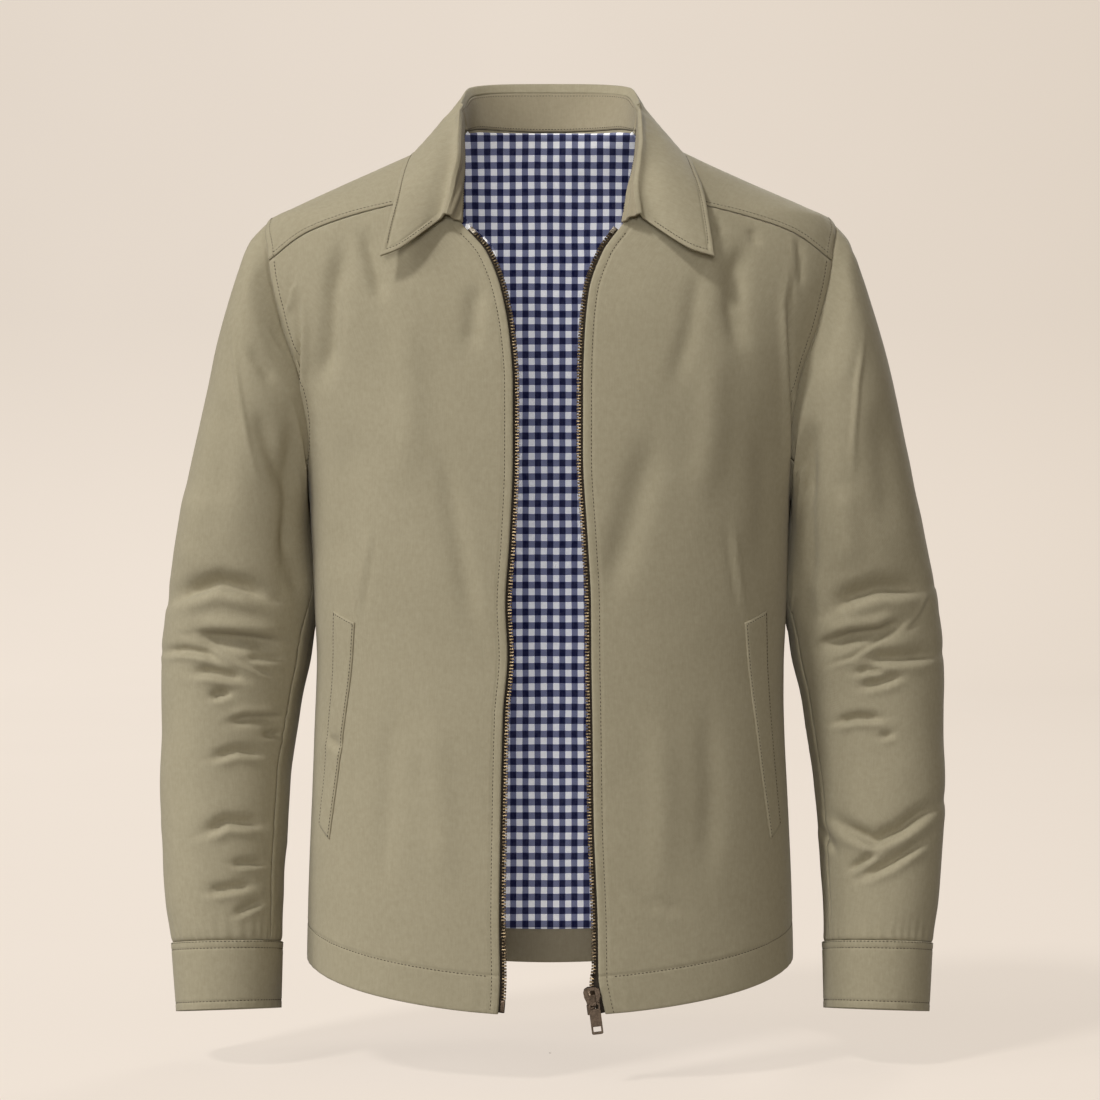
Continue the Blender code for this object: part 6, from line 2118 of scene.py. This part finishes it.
# ---- studio -------------------------------------------------------------------------------
@dataclass(frozen=True)
class Lamp:
    """A broad, far lamp, by the way it stands from the jacket."""

    name: str
    azimuth: float
    elevation: float
    strength: float
    spread: float
    colour: tuple[float, float, float] = (1.0, 1.0, 1.0)

    def build(self) -> None:
        """Add the lamp; azimuth 0 is in front, 90 at the jacket's left."""
        data = bpy.data.lights.new(self.name, "SUN")
        data.energy = self.strength
        data.angle = radians(self.spread)
        data.color = self.colour
        lamp = add_object(self.name, data)
        turn, up = radians(self.azimuth), radians(self.elevation)
        way = Vector((np.sin(turn) * np.cos(up), -np.cos(turn) * np.cos(up), np.sin(up)))
        lamp.location = way * 4
        lamp.rotation_euler = way.to_track_quat("Z", "Y").to_euler()


@dataclass
class Studio:
    """Camera, lights and a seamless pale cove all round."""

    floor: float = -0.722
    radius: float = 5.5
    cove: float = 1.2
    wall_top: float = 4.5
    lens: float = 81.7
    glow: float = 0.80
    room_light: float = 0.18
    room_tint: tuple[float, float, float] = (1.0, 0.86, 0.68)
    lights: tuple[Lamp, ...] = (
        Lamp("key", -74, 24, 0.98, 22),
        Lamp("high_key", -50, 52, 1.66, 9),
        Lamp("fill", -4, 6, 1.00, 20),
        Lamp("back", 155, 28, 1.05, 20))

    def build(self) -> None:
        """Make the stage, the lights and the camera."""
        self.build_cove()
        for light in self.lights:
            light.build()
        scene = bpy.context.scene
        scene.world = bpy.data.worlds.new("studio")
        scene.world.use_nodes = True
        room = scene.world.node_tree.nodes["Background"].inputs
        room[0].default_value = (*self.room_tint, 1.0)
        room[1].default_value = self.room_light
        lens = bpy.data.cameras.new("camera")
        lens.lens = self.lens
        lens.sensor_width = 36.0
        scene.camera = add_object("camera", lens)
        scene.camera.location = (0.0, -EYE_DISTANCE, EYE_HEIGHT)
        scene.camera.rotation_euler = (radians(90), 0, 0)
        scene.view_settings.view_transform = "Standard"

    def build_cove(self) -> None:
        """Make the seamless cove by turning its profile all the way round."""
        bm = bmesh.new()
        bends = np.linspace(0, PI / 2, 12)
        profile = [(0.001, self.floor), (1.5, self.floor), (self.radius, self.floor)]
        profile += [(self.radius + self.cove * np.sin(a), self.floor + self.cove * (1 - np.cos(a)))
                    for a in bends[1:]]
        profile.append((self.radius + self.cove, self.wall_top))
        verts = [bm.verts.new((x, 0, z)) for x, z in profile]
        edges = [bm.edges.new(pair) for pair in zip(verts, verts[1:])]
        bmesh.ops.spin(bm, geom=verts + edges, cent=(0, 0, 0), axis=(0, 0, 1), angle=2 * PI,
                       steps=64, use_merge=True)
        bmesh.ops.recalc_face_normals(bm, faces=bm.faces)
        mesh = bpy.data.meshes.new("stage_cove")
        bm.to_mesh(mesh)
        bm.free()
        mesh.shade_smooth()
        mesh.materials.append(self.paper())
        cove = add_object("stage_cove", mesh)
        cove.visible_diffuse = cove.visible_glossy = cove.visible_shadow = False

    def paper(self) -> bpy.types.Material:
        """Pale paper that glows a little, with painted light that makes it paler where it faces up
        and painted shade that darkens it towards the jacket's left.
        """
        material, n, shader = new_material("pale_paper")
        place = n.add("ShaderNodeTexCoord").outputs["Object"]
        tint = n.blend(n.noise(place, 1.5, 2.0), srgb(235, 223, 210), srgb(232, 220, 207))
        # Painted light: paler and lighter where the paper faces up, as the floor does.
        level = n.add("ShaderNodeNewGeometry").outputs["Normal"]
        level = n.add("ShaderNodeSeparateXYZ", level).outputs[2]
        tint = n.blend(n.math("MULTIPLY", level, 0.24), tint, (1.0, 0.90, 0.80, 1.0))
        # Painted shade: darker towards the jacket's left, away from the key lamps.
        painted_shade_aside = n.add("ShaderNodeSeparateXYZ", place).outputs[0]
        painted_shade_aside = n.add("ShaderNodeMapRange", painted_shade_aside, -0.1, 2.2, 0.0, 0.60).outputs[0]
        tint = n.blend(painted_shade_aside, tint, srgb(214, 201, 186))
        n.feed(shader, Base_Color=n.blend(1.0, tint, (0.22, 0.22, 0.22, 1.0), "MULTIPLY"),
               Emission_Color=tint, Emission_Strength=self.glow, Roughness=0.9,
               Specular_IOR_Level=0.0)
        return material


def main() -> None:
    """Build the studio and every piece of the jacket."""
    Studio().build()
    cloth = BodyCloth()
    cloth.build()
    Lining(cloth).build()
    for side, under in ((RIGHT, 0.085), (LEFT, 0.060)):
        Sleeve(side, under).build()
    Collar().build()
    Zip(cloth).build()
    Pockets(cloth).build()
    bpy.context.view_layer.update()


if __name__ == "__main__":
    main()
